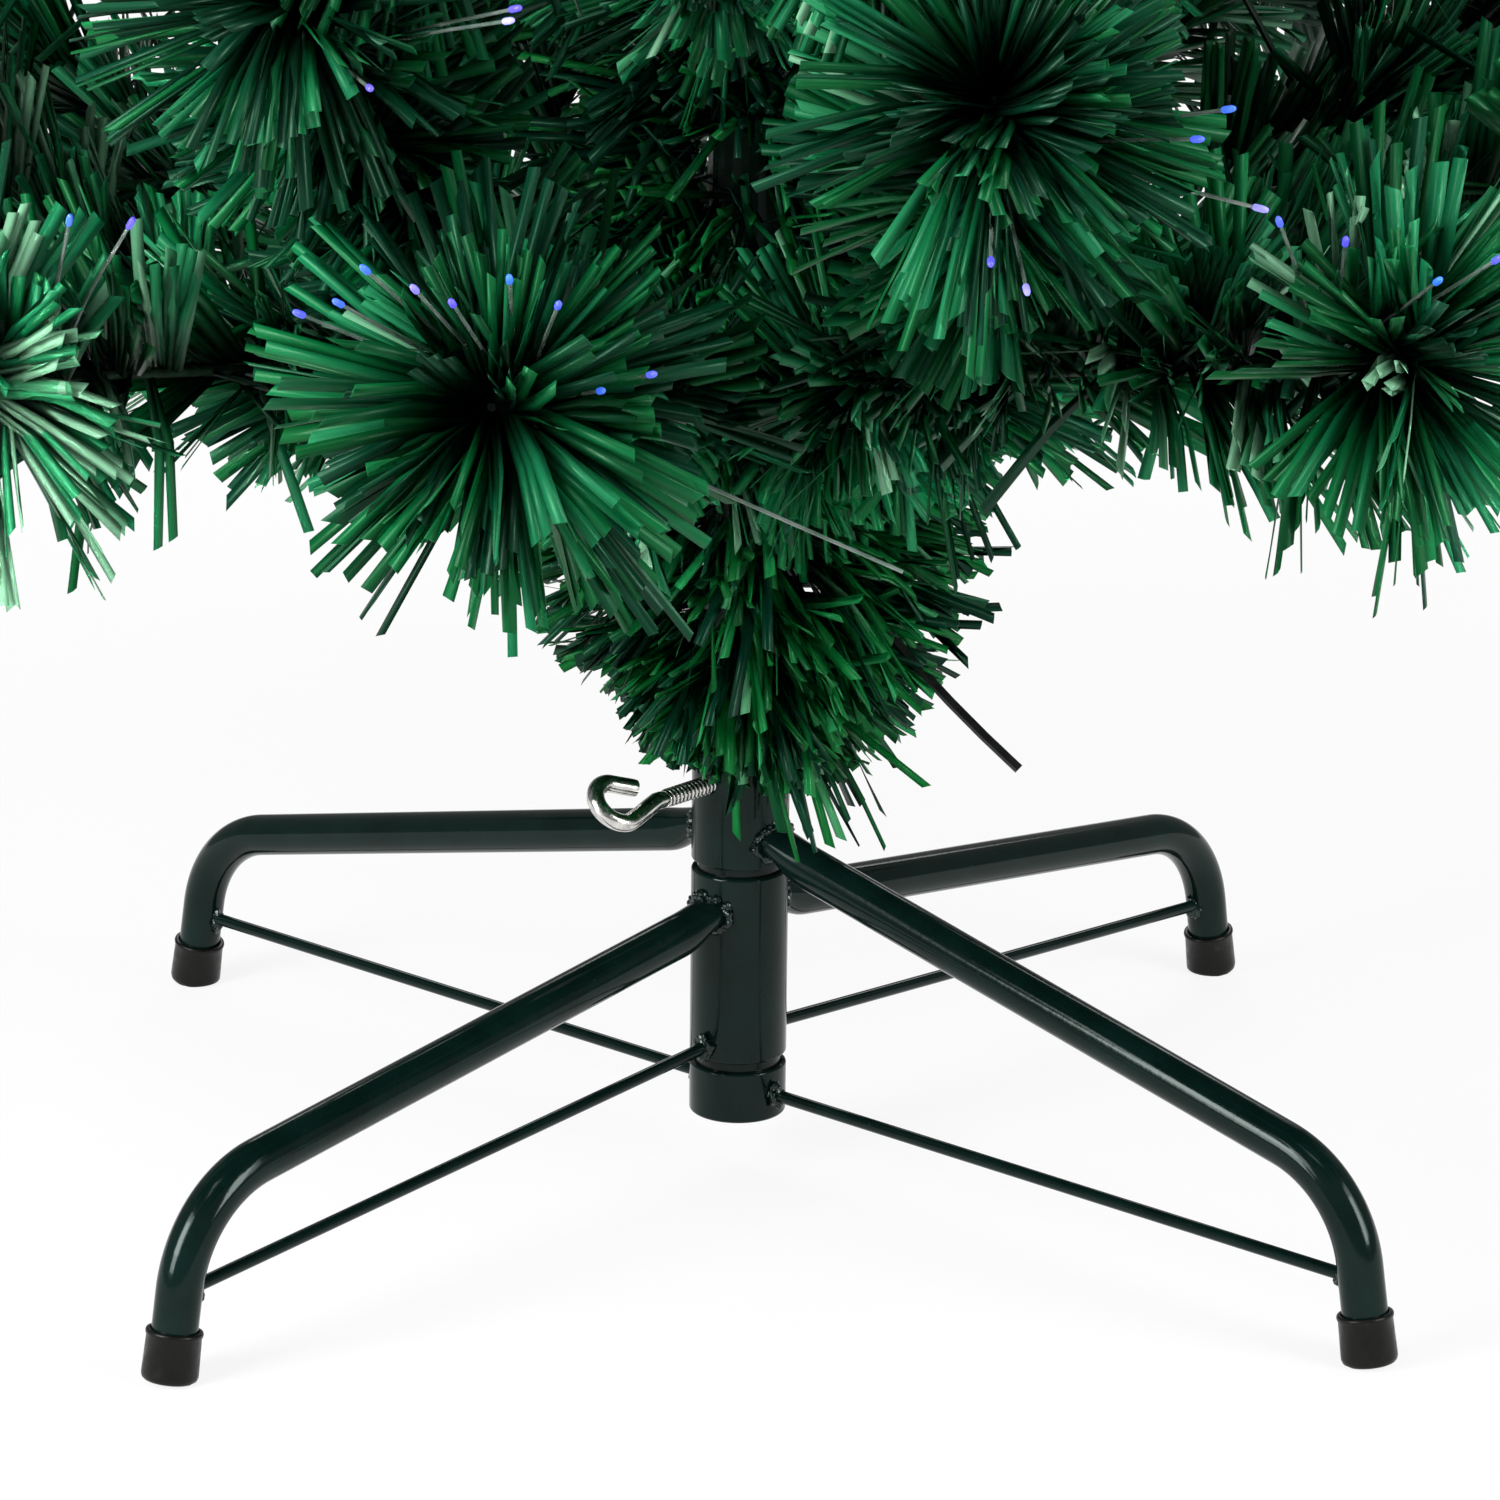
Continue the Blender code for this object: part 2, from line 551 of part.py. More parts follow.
def build_poles(lower_axis, upper_axis, paint):
    """Two open tubes; the upper one has a narrower tenon that plugs in."""
    bore = POLE_R - POLE_WALL
    foot = LOWER_COLLAR_BOTTOM + LEDGE_THICKNESS + GAP
    lower = [(bore, foot), (POLE_R, foot), (POLE_R, POLE_JOINT_HEIGHT), (bore, POLE_JOINT_HEIGHT)]
    lower_mesh = finish_mesh(turned(lower, POLE_SIDES), "pole_lower", paint, TURNED_SMOOTH)
    place("pole_lower", lower_mesh, lower_axis)
    tenon = bore - GAP
    tenon_bottom = POLE_JOINT_HEIGHT - TENON_LENGTH
    shoulder = POLE_JOINT_HEIGHT + GAP
    upper = [(tenon - POLE_WALL, tenon_bottom), (tenon, tenon_bottom), (tenon, shoulder),
             (POLE_R, shoulder), (POLE_R, UPPER_POLE_TOP), (bore, UPPER_POLE_TOP),
             (bore, shoulder + TENON_TAPER), (tenon - POLE_WALL, shoulder)]
    upper_mesh = finish_mesh(turned(upper, POLE_SIDES), "pole_upper", paint, TURNED_SMOOTH)
    place("pole_upper", upper_mesh, upper_axis)


def tie_tail_points():
    """Centre line of the tie's tail, out of its head and over in one arc."""
    direction = Vector((math.cos(TIE_AZIMUTH), math.sin(TIE_AZIMUTH), 0.0))
    side = Vector((-math.sin(TIE_AZIMUTH), math.cos(TIE_AZIMUTH), 0.0))
    start = POLE_R + GAP + TIE_HEAD_DEPTH / 2
    points = []
    for index in range(TIE_TAIL_STEPS + 1):
        share = index / TIE_TAIL_STEPS
        reach = start + (TIE_TAIL_REACH - start) * share
        drop = TIE_TAIL_DROP * share ** TIE_CURVE_SHARE
        drift = TIE_TAIL_REACH * TIE_DRIFT_SHARE * share * share
        points.append(direction * reach + side * drift + UP * (TIE_HEIGHT - drop))
    return points


def build_cable_tie(axis, mat):
    """Band, head and tail in one piece."""
    inner = POLE_R + GAP
    low, high = TIE_HEIGHT - TIE_WIDTH / 2, TIE_HEIGHT + TIE_WIDTH / 2
    profile = [(inner, low), (inner + TIE_THICKNESS, low), (inner + TIE_THICKNESS, high), (inner, high)]
    band_mesh = finish_mesh(turned(profile, TIE_SIDES), "cable_tie", mat, TURNED_SMOOTH)
    band = place("cable_tie", band_mesh, axis)
    bm = bmesh.new()
    bmesh.ops.create_cube(bm, size=1.0)
    size = Matrix.Diagonal((TIE_HEAD_DEPTH, TIE_HEAD_LENGTH, TIE_HEAD_WIDTH, 1.0))
    middle = inner + TIE_SLOT + TIE_HEAD_DEPTH / 2
    put = Matrix.Rotation(TIE_AZIMUTH, 4, "Z") @ Matrix.Translation((middle, 0.0, TIE_HEIGHT))
    bmesh.ops.transform(bm, matrix=put @ size, verts=bm.verts)
    head = place("tie_head_shape", finish_mesh(bm, "tie_head", mat), axis)
    tail_points = tie_tail_points()
    thin = (TIE_WIDTH / 2 * math.sqrt(2.0), TIE_THICKNESS / 2 * math.sqrt(2.0))
    side = Vector((-math.sin(TIE_AZIMUTH), math.cos(TIE_AZIMUTH), 0.0))
    tail_mesh = finish_mesh(sweep(tail_points, [thin] * len(tail_points), 4, side), "tie_tail", mat)
    tail = place("tie_tail_shape", tail_mesh, axis)
    for part in (head, tail):
        part.hide_render = True
        part.display_type = "WIRE"
        join = band.modifiers.new("join", "BOOLEAN")
        join.operation = "UNION"
        join.solver = "EXACT"
        join.object = part
    return tail_points


# Foliage

class Thicket:
    """Keeps the room that stems and strands take, as chains of balls."""

    def __init__(self):
        self.cells = {}
        self.pitch = NEEDLE_REACH / 2

    def cell(self, point):
        return tuple(math.floor(value / self.pitch) for value in point)

    def add(self, owner, points, radii):
        for point, radius in zip(points, radii):
            self.cells.setdefault(self.cell(point), []).append((point, radius, owner))

    def free(self, owners, points, radii):
        """True where no ball of another owner touches these."""
        for point, radius in zip(points, radii):
            base = self.cell(point)
            for dx in (-1, 0, 1):
                for dy in (-1, 0, 1):
                    for dz in (-1, 0, 1):
                        near = self.cells.get((base[0] + dx, base[1] + dy, base[2] + dz), ())
                        for other, size, owner in near:
                            if owner in owners:
                                continue
                            if (other - point).length < radius + size + ROOM:
                                return False
        return True


def sample_line(start, end, start_radius, end_radius):
    """Balls along a line, closer together than they are wide."""
    steps = max(2, math.ceil((end - start).length / SAMPLE_STEP))
    points, radii = [], []
    for index in range(steps + 1):
        share = index / steps
        points.append(start.lerp(end, share))
        radii.append(start_radius + (end_radius - start_radius) * share)
    return points, radii


def polar(azimuth, reach, height):
    """A point given by its direction in degrees, reach and height."""
    angle = math.radians(azimuth)
    return Vector((reach * math.cos(angle), reach * math.sin(angle), height))


class Stem:
    """Rings of one stem, with the short slices that carry its tufts."""

    def __init__(self, owner, points, radii, slices, side_hint):
        self.owner = owner
        self.points = points
        self.radii = radii
        self.slices = slices
        self.side_hint = side_hint

    def claim(self, thicket):
        for index in range(len(self.points) - 1):
            start, end = self.points[index], self.points[index + 1]
            thicket.add(self.owner, *sample_line(start, end, self.radii[index], self.radii[index + 1]))


def with_slices(points, radii, slice_shares):
    """Put short tuft-carrying segments into the last run of a stem."""
    start, end = points[-2], points[-1]
    along = (end - start).normalized()
    length = (end - start).length
    new_points, new_radii, slices = points[:-1], radii[:-1], []
    for share in slice_shares:
        centre = length * share
        for offset in (-SLICE_LENGTH / 2, SLICE_LENGTH / 2):
            place_share = (centre + offset) / length
            new_points.append(start + along * (centre + offset))
            new_radii.append(radii[-2] + (radii[-1] - radii[-2]) * place_share ** STEM_TAPER_POWER)
        slices.append(len(new_points) - 2)
    return new_points + [end], new_radii + [radii[-1]], slices


def main_stem(owner, azimuth, root_height, fork, tip, slice_count):
    """Foot on the pole, lamp sleeve, fork and run to the high tip."""
    out = polar(azimuth, 1.0, 0.0)
    hint = UP.cross(out)
    seat = POLE_R + GAP + FOOT_R
    heel = out * seat + UP * root_height
    run = (fork - heel).normalized()
    points = [heel - UP * FOOT_LENGTH, heel - UP * FOOT_R, heel + run * (FOOT_R * 2),
              heel + run * LAMP_START, heel + run * (LAMP_START + LAMP_LENGTH),
              heel + run * (LAMP_START + LAMP_LENGTH + FOOT_R), heel + run * CORE_START, fork, tip]
    radii = [FOOT_R, FOOT_R, FOOT_R, LAMP_R, LAMP_R, NECK_R, CORE_R, CORE_R, TIP_R]
    points, radii, slices = with_slices(points, radii, SLICE_SHARES[slice_count])
    return Stem(owner, points, radii, slices, hint)


def short_stem(owner, azimuth, root_height, tip, slice_count):
    """A stem with no sprigs, for the upper tiers."""
    out = polar(azimuth, 1.0, 0.0)
    seat = POLE_R + GAP + FOOT_R
    heel = out * seat + UP * root_height
    run = (tip - heel).normalized()
    length = (tip - heel).length
    points = [heel - UP * FOOT_LENGTH, heel - UP * FOOT_R, heel + run * (FOOT_R * 2),
              heel + run * LAMP_START, heel + run * (LAMP_START + LAMP_LENGTH),
              heel + run * (length * FORK_SHARE), tip]
    radii = [FOOT_R, FOOT_R, FOOT_R, LAMP_R, LAMP_R, CORE_R, TIP_R]
    points, radii, slices = with_slices(points, radii, SLICE_SHARES[slice_count])
    return Stem(owner, points, radii, slices, UP.cross(out))


def sprig_stem(owner, main, fork_index, side, tip, slice_count):
    """A side sprig that leaves the fork sideways and then runs to its tip."""
    fork = main.points[fork_index]
    along = path_direction(main.points, fork_index)
    across = (main.side_hint - along * main.side_hint.dot(along)).normalized()
    leave = fork + across * (side * SPRIG_LEAVE_SIDE) + along * SPRIG_LEAVE_ALONG
    points, radii, slices = with_slices([leave, tip], [SPRIG_START_R, TIP_R], SLICE_SHARES[slice_count])
    for index in range(1, len(radii) - 1):
        radii[index] = SPRIG_CORE_R
    return Stem(owner, points, radii, slices, main.side_hint)


def pull_face(bm, face, centre, old_axes, new_axes, halves):
    """Extrude one four-sided face and lay its copy out at a new centre."""
    middle = face.calc_center_median()
    signs = {}
    fresh = bmesh.ops.extrude_discrete_faces(bm, faces=[face])["faces"][0]
    for vert in fresh.verts:
        offset = vert.co - middle
        signs[vert] = [math.copysign(1.0, offset.dot(axis)) for axis in old_axes]
    for vert, (first, second) in signs.items():
        vert.co = centre + new_axes[0] * (first * halves[0]) + new_axes[1] * (second * halves[1])
    return fresh


def stem_rings(bm, stem):
    """Five-sided rings along a stem; returns its side faces by segment."""
    rings = []
    for index, centre in enumerate(stem.points):
        along = path_direction(stem.points, index)
        across = (stem.side_hint - along * stem.side_hint.dot(along)).normalized()
        above = along.cross(across)
        ring = []
        for corner in range(STEM_SIDES):
            angle = math.tau * (corner + STEM_FIRST_CORNER) / STEM_SIDES
            offset = across * math.cos(angle) + above * math.sin(angle)
            ring.append(bm.verts.new(centre + offset * stem.radii[index]))
        rings.append(ring)
    sides = []
    for first, second in zip(rings, rings[1:]):
        segment = []
        for corner in range(STEM_SIDES):
            follow = (corner + 1) % STEM_SIDES
            segment.append(bm.faces.new((first[corner], first[follow], second[follow], second[corner])))
        sides.append(segment)
    bm.faces.new(rings[0])
    bm.faces.new(rings[-1])
    return sides


def grow_tufts(bm, faces, centre, along, lean, reach, owners, thicket):
    """Pull one tuft out of each face of a slice, where it has room."""
    grown = 0
    for face in faces:
        middle = face.calc_center_median()
        radial = middle - centre
        radial = (radial - along * radial.dot(along)).normalized()
        tangent = along.cross(radial).normalized()
        heading = (radial * math.cos(lean) + along * math.sin(lean)).normalized()
        flat = heading.cross(tangent).normalized()
        for share in SHORTER_SHARES:
            tip = centre + heading * (reach * share)
            room = sample_line(middle + heading * TUFT_TIP_ROOM, tip, TUFT_ROOT_ROOM, TUFT_TIP_ROOM)
            if not thicket.free(owners, *room):
                continue
            thicket.add(owners[-1], *room)
            pull_face(bm, face, tip, (tangent, along), (tangent, flat),
                      (TUFT_TIP_WIDTH / 2, TUFT_TIP_THICKNESS / 2))
            grown += 1
            break
    return grown


def grow_slices(bm, stem, segments, thicket):
    """All tufts of one stem, leaning further towards its tip."""
    grown = 0
    leans = SLICE_LEANS[-len(stem.slices):] if stem.slices else ()
    for order, (first_ring, lean) in enumerate(zip(stem.slices, leans)):
        centre = (stem.points[first_ring] + stem.points[first_ring + 1]) / 2
        along = (stem.points[first_ring + 1] - stem.points[first_ring]).normalized()
        last = first_ring == stem.slices[-1]
        reach = TIP_FAN_REACH if last else NEEDLE_REACH
        tag = (stem.owner, tuple(stem.points[0]), order)
        grown += grow_tufts(bm, segments[first_ring], centre, along, math.radians(lean), reach,
                            (stem.owner, tag), thicket)
    return grown


def grow_sprig(bm, face, main, fork_index, sprig):
    """Pull a side sprig out of the fork's side face, ring by ring."""
    along = path_direction(main.points, fork_index)
    radial = (sprig.points[0] - main.points[fork_index])
    radial = (radial - along * radial.dot(along)).normalized()
    above = along.cross(radial).normalized()
    axes = (along, above)
    segments = []
    for index, centre in enumerate(sprig.points):
        heading = path_direction(sprig.points, index)
        if index == 0:
            heading = (heading + radial).normalized()
        new_above = (above - heading * above.dot(heading)).normalized()
        new_first = new_above.cross(heading).normalized()
        if new_first.dot(axes[0]) < 0.0:
            new_first.negate()
        half = sprig.radii[index] / math.sqrt(2.0)
        face = pull_face(bm, face, centre, axes, (new_first, new_above), (half, half))
        walls = [loop.edge.link_faces for loop in face.loops]
        segments.append([wall for pair in walls for wall in pair if wall is not face])
        axes = (new_first, new_above)
    return segments[1:]


def side_face(faces, direction):
    """The face of a segment that looks most in one direction."""
    middle = sum((face.calc_center_median() for face in faces), Vector()) / len(faces)
    ahead = [face for face in faces if (face.calc_center_median() - middle).dot(direction) > 0.0]
    for face in ahead:
        face.normal_update()
    return max(ahead, key=lambda face: abs(face.normal.dot(direction)))


def plan_branches():
    """List every branch: name, tier, azimuth, root height and its tips."""
    plans = []
    for tier, count in enumerate(TIER_COUNTS):
        height = TREE_HEIGHT * TIER_HEIGHT_SHARES[tier]
        reach = BRANCH_REACH * TIER_REACH_SHARES[tier]
        for number in range(count):
            name = "branch_%d_%d" % (tier + 1, number + 1)
            if tier == 0:
                azimuth, tips = LOWEST_BRANCHES[number % len(LOWEST_BRANCHES)]
                azimuth += 180.0 * (number // len(LOWEST_BRANCHES))
            else:
                azimuth = TIER_FIRST_AZIMUTHS[tier] + 360.0 * number / count
                tips = tier_tips(tier, reach)
            ends = [polar(azimuth + turn, reach * out, height + reach * rise) for turn, out, rise in tips]
            plans.append((name, tier, azimuth, height, reach, ends))
    return plans


def tier_tips(tier, reach):
    """The high tip and, on the lower tiers, a low tip to either side."""
    rise = TIER_RISE_SHARES[tier]
    if not TIER_SPRIGS[tier]:
        return ((0.0, 1.0, rise),)
    spread = math.degrees(math.atan(SPRIG_SPREAD / reach))
    high_tip = (0.0, HIGH_TIP_REACH_SHARE, rise + HIGH_TIP_RISE_SHARE)
    return (high_tip, (-spread, 1.0, rise), (spread, 1.0, rise))


def plan_stems(plan):
    """The stems of one branch: the main one first, then its sprigs."""
    name, tier, azimuth, height, reach, ends = plan
    if len(ends) == 1:
        return [short_stem(name, azimuth, height, ends[0], TIER_SLICES[tier])], None
    low_rise = min(end.z for end in ends) - height
    fork = polar(azimuth, reach * FORK_SHARE, height + low_rise * FORK_RISE_SHARE)
    main = main_stem(name, azimuth, height, fork, ends[0], TIER_SLICES[tier])
    fork_index = main.points.index(fork)
    stems = [main]
    for side, end in zip((-1.0, 1.0), ends[1:]):
        stems.append(sprig_stem((name, side), main, fork_index, side, end, TIER_SPRIG_SLICES[tier]))
    return stems, fork_index


def fix_fork(main, fork_index):
    """Give the fork a short segment of its own, from which sprigs leave."""
    along = path_direction(main.points, fork_index)
    back = main.points[fork_index] - along * CORE_R
    main.points.insert(fork_index, back)
    main.radii.insert(fork_index, CORE_R)
    main.slices = [first_ring + 1 for first_ring in main.slices]


def build_branch(plan, stems, fork_index, parent, mat, thicket):
    """One branch as one closed body; returns how many strands it has."""
    bm = bmesh.new()
    main = stems[0]
    segments = stem_rings(bm, main)
    grown = 0
    if fork_index is not None:
        along = path_direction(main.points, fork_index + 1)
        across = (main.side_hint - along * main.side_hint.dot(along)).normalized()
        roots = [side_face(segments[fork_index], across * side) for side in (-1.0, 1.0)]
        for root, sprig in zip(roots, stems[1:]):
            sprig_segments = grow_sprig(bm, root, main, fork_index + 1, sprig)
            grown += grow_slices(bm, sprig, sprig_segments, thicket)
    grown += grow_slices(bm, main, segments, thicket)
    place(plan[0], finish_mesh(bm, plan[0], mat), parent)
    return grown


def build_tinsel(parent, mat, thicket):
    """Turned core round the pole with tufts pulled out of its slices."""
    inner = (POLE_R + GAP) / math.cos(math.pi / TINSEL_SIDES)
    profile = [(inner, TINSEL_BOTTOM), (TINSEL_BOTTOM_R, TINSEL_BOTTOM)]
    heights = []
    for share in TINSEL_SLICE_SHARES:
        centre = TINSEL_BOTTOM + (TINSEL_TOP - TINSEL_BOTTOM) * share
        radius = TINSEL_BOTTOM_R + (TINSEL_CORE_R - TINSEL_BOTTOM_R) * min(1.0, share * TINSEL_TAPER)
        profile += [(radius, centre - TINSEL_SLICE / 2), (radius, centre + TINSEL_SLICE / 2)]
        heights.append(centre)
    profile += [(TINSEL_BOTTOM_R, TINSEL_TOP), (inner, TINSEL_TOP)]
    bm = turned(profile, TINSEL_SIDES)
    bmesh.ops.recalc_face_normals(bm, faces=bm.faces)
    grown = 0
    for order, height in enumerate(heights):
        band = [face for face in bm.faces if is_slice_face(face, height)]
        band.sort(key=lambda face: math.atan2(face.calc_center_median().y, face.calc_center_median().x))
        lean = math.radians(TINSEL_LEANS[order])
        reach = TINSEL_REACH * TINSEL_REACH_SHARES[order]
        grown += grow_tufts(bm, band[order % 2::2], UP * height, UP, lean, reach,
                            (("trunk_tinsel", order),), thicket)
    place("trunk_tinsel", finish_mesh(bm, "trunk_tinsel", mat), parent)
    return grown


def is_slice_face(face, height):
    """True for the upright outer faces of the tinsel slice at one height."""
    middle = face.calc_center_median()
    upright = abs(face.normal.z) < UPRIGHT_LIMIT
    outer = Vector((middle.x, middle.y, 0.0)).length > (POLE_R + TINSEL_BOTTOM_R) / 2
    return upright and outer and abs(middle.z - height) < TINSEL_SLICE / 4


def build_leader(parent, mat, thicket):
    """The upright tip: a plug in the pole's end, stem and tufts."""
    plug = POLE_R - POLE_WALL - GAP
    base = UP * (UPPER_POLE_TOP - TENON_LENGTH / 2)
    top = UP * (TREE_HEIGHT - TIP_FAN_REACH)
    points = [base, UP * (UPPER_POLE_TOP - GAP), UP * (UPPER_POLE_TOP + GAP),
              UP * (UPPER_POLE_TOP + LAMP_LENGTH), top]
    radii = [plug, plug, plug, CORE_R, TIP_R]
    points, radii, slices = with_slices(points, radii, SLICE_SHARES[3])
    leader = Stem("tree_top", points, radii, slices, Vector((1.0, 0.0, 0.0)))
    leader.claim(thicket)
    bm = bmesh.new()
    segments = stem_rings(bm, leader)
    grown = grow_slices(bm, leader, segments, thicket)
    tip_face = max(bm.faces, key=lambda face: (len(face.verts) == STEM_SIDES, face.calc_center_median().z))
    spike = bmesh.ops.extrude_discrete_faces(bm, faces=[tip_face])["faces"][0]
    for vert in spike.verts:
        vert.co = UP * TREE_HEIGHT + (vert.co - top) * TIP_SPIKE_SHARE
    place("tree_top", finish_mesh(bm, "tree_top", mat), parent)
    return grown


def claim_hardware(thicket, tail_points):
    """Room taken by the poles, collars, eye bolt and tie."""
    thicket.add("pole", *sample_line(Vector(), UP * UPPER_POLE_TOP, POLE_R, POLE_R))
    thicket.add("collar", *sample_line(Vector(), UP * UPPER_COLLAR_TOP, HUB_R, HUB_R))
    start = UP * BOLT_HEIGHT
    end = start + polar(math.degrees(BOLT_AZIMUTH), BOLT_ROOM, 0.0)
    thicket.add("bolt", *sample_line(start, end, EYE_R * 2, EYE_R * 2))
    for start, end in zip(tail_points, tail_points[1:]):
        thicket.add("tie", *sample_line(start, end, TIE_WIDTH, TIE_WIDTH))


def build_foliage(lower_axis, upper_axis, tail_points, needles, tinsel):
    """All branches, the tinsel and the leader."""
    thicket = Thicket()
    claim_hardware(thicket, tail_points)
    work = []
    for plan in plan_branches():
        stems, fork_index = plan_stems(plan)
        if fork_index is not None:
            fix_fork(stems[0], fork_index)
        for stem in stems:
            stem.claim(thicket)
        work.append((plan, stems, fork_index))
    strands = build_tinsel(lower_axis, tinsel, thicket)
    for plan, stems, fork_index in work:
        parent = lower_axis if plan[1] < LOWER_TIERS else upper_axis
        strands += build_branch(plan, stems, fork_index, parent, needles, thicket)
    strands += build_leader(upper_axis, needles, thicket)
    print("strands in all:", strands)


def main():
    """Build the whole tree."""
    clear_scene()
    paint = make_material("stand_paint", GREEN_PAINT, GLOSS)
    dark = make_material("sleeve_paint", BLACK_NYLON, METAL_GLOSS)
    rubber = make_material("rubber", RUBBER, RUBBER_GLOSS)
    nickel = make_material("nickel", NICKEL, METAL_GLOSS, 1.0)
    pole_paint = make_material("pole_paint", POLE_PAINT, POLE_GLOSS)
    nylon = make_material("black_nylon", BLACK_NYLON, PLASTIC_GLOSS)
    needles = make_material("needles", NEEDLE_GREEN, PLASTIC_GLOSS)
    tinsel = make_material("tinsel", TINSEL_GREEN, PLASTIC_GLOSS)
    frame_a = make_axis("frame_a_axis")
    frame_b = make_axis("frame_b_axis")
    lower_axis = make_axis("tree_lower_axis")
    upper_axis = make_axis("tree_upper_axis", lower_axis)
    build_hub(frame_a, frame_b, paint, dark)
    build_legs({"a": frame_a, "b": frame_b}, paint, rubber)
    build_eye_bolt(nickel)
    build_poles(lower_axis, upper_axis, pole_paint)
    tail_points = build_cable_tie(lower_axis, nylon)
    build_foliage(lower_axis, upper_axis, tail_points, needles, tinsel)


main()
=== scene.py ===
import json
import math

import bpy
import numpy as np
from mathutils import Matrix, Vector, noise


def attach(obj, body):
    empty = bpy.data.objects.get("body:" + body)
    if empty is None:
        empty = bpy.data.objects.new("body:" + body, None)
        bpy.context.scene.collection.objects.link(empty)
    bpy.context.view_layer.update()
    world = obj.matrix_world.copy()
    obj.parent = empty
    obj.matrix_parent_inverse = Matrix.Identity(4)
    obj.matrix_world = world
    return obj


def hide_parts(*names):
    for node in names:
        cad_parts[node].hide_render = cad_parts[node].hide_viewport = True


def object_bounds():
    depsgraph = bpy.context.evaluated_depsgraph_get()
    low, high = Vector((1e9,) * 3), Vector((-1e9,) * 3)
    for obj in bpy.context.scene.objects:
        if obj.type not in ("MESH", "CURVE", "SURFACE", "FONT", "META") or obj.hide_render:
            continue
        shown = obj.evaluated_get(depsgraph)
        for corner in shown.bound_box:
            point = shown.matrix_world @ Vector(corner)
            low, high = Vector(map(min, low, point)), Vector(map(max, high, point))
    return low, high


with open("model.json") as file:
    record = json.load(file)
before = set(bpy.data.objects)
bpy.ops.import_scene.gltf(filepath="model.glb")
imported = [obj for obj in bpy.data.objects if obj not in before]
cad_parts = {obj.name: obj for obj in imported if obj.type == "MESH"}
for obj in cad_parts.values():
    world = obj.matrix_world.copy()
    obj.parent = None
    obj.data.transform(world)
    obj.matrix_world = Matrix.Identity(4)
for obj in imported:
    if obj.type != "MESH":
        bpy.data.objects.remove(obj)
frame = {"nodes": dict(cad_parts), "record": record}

CAD_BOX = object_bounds()

# Camera: its matrix has its right, its up, its back and its place as columns
CAMERA_MATRIX = ((0.9979753, 0.008315, -0.0630569, -0.126451),
                 (-0.06269, 0.2959527, -0.9531432, -1.955416),
                 (0.0107364, 0.9551663, 0.2958748, 0.7484), (0.0, 0.0, 0.0, 1.0))
CAMERA_LENS = 150.924
SENSOR_WIDTH = 36.0

# Sizes shared with the solids, in metres
GAP = 0.0003
TREE_HEIGHT = 1.5
BRANCH_REACH = 0.42
HUB_R = 0.016
POLE_R = 0.0125
UPPER_POLE_TOP = 1.2
SPRIG_SPREAD = 0.065
SPRIG_LEAVE_SIDE = 0.034
SPRIG_LEAVE_ALONG = 0.036
LOWER_TIERS = 4
# Each tier: branches, shares of height and reach, first azimuth, rise, and if they fork
TIERS = ((8, 0.174, 1.0, 0.0, 0.23, True), (6, 0.2667, 0.91, -98.0, 0.26, True),
         (6, 0.36, 0.8, -125.0, 0.3, True), (5, 0.4533, 0.68, -90.0, 0.34, False),
         (4, 0.5533, 0.56, -70.0, 0.42, False), (4, 0.6467, 0.43, -112.0, 0.5, False),
         (3, 0.7333, 0.3, -90.0, 0.62, False))
# The lowest tier by azimuth; each tip as turn, share of the reach and rise
LOWEST_BRANCHES = (
    (-157.0, ((0.0, 0.95, 0.46), (-10.0, 1.0, 0.25), (11.0, 0.98, 0.22))),
    (-112.0, ((1.9, 0.982, 0.48), (-11.1, 0.995, 0.219), (9.5, 0.997, 0.235))),
    (-72.0, ((-13.3, 1.0, 0.427), (1.5, 1.036, 0.262), (17.0, 0.97, 0.36))),
    (-27.0, ((0.0, 0.95, 0.46), (-11.0, 0.98, 0.22), (10.0, 1.0, 0.24))),
)
HIGH_TIP_RISE_SHARE = 0.2
HIGH_TIP_REACH_SHARE = 0.95
FORK_SHARE = 0.42
FORK_RISE_SHARE = 0.4

# Branch wire: the foot that lies on the pole, the stems' taper and the sleeve round the bundle
FOOT_R = 0.003
FOOT_LENGTH = 0.018
FOOT_RADII = (0.0026, 0.0026, 0.0024)
STEM_RADII = (0.0024, 0.0012)
SLEEVE_START = 0.018
SLEEVE_LENGTH = 0.022
SLEEVE_SHARES = (0.0, 0.04, 0.5, 0.96, 1.0)
SLEEVE_RADII = (0.003, 0.0048, 0.005, 0.0048, 0.003)

# Hub tubes: bottom, top, rounding at the bottom and at the top, and the frame that carries each
HUB_WALL = 0.0015
HUB_SIDES = 192
LEDGE_REACH = 0.0035
LEDGE_THICKNESS = 0.0015
HUB_TUBES = (("lower_collar", 0.0172, 0.0345, 0.0012, 0.0008, "frame_a"),
             ("middle_tube", 0.0377, 0.1021, 0.0012, 0.0012, "frame_b"),
             ("upper_collar", 0.1048, 0.141, 0.0008, 0.0008, "frame_a"))

# Legs, braces and caps, in the plane of one leg
LEG_R = 0.0072
LEG_SIDES = 48
FOOT_REACH = 0.2596
LEG_FOOT_TILT = math.radians(9.9)
LEG_BEND_R = 0.04
LEG_CORNER_HEIGHT = 0.0565
CRIMP_LENGTH = 0.013
CRIMP_HEIGHT_SHARE = 0.66
BRACE_R = 0.0021
BRACE_SIDES = 24
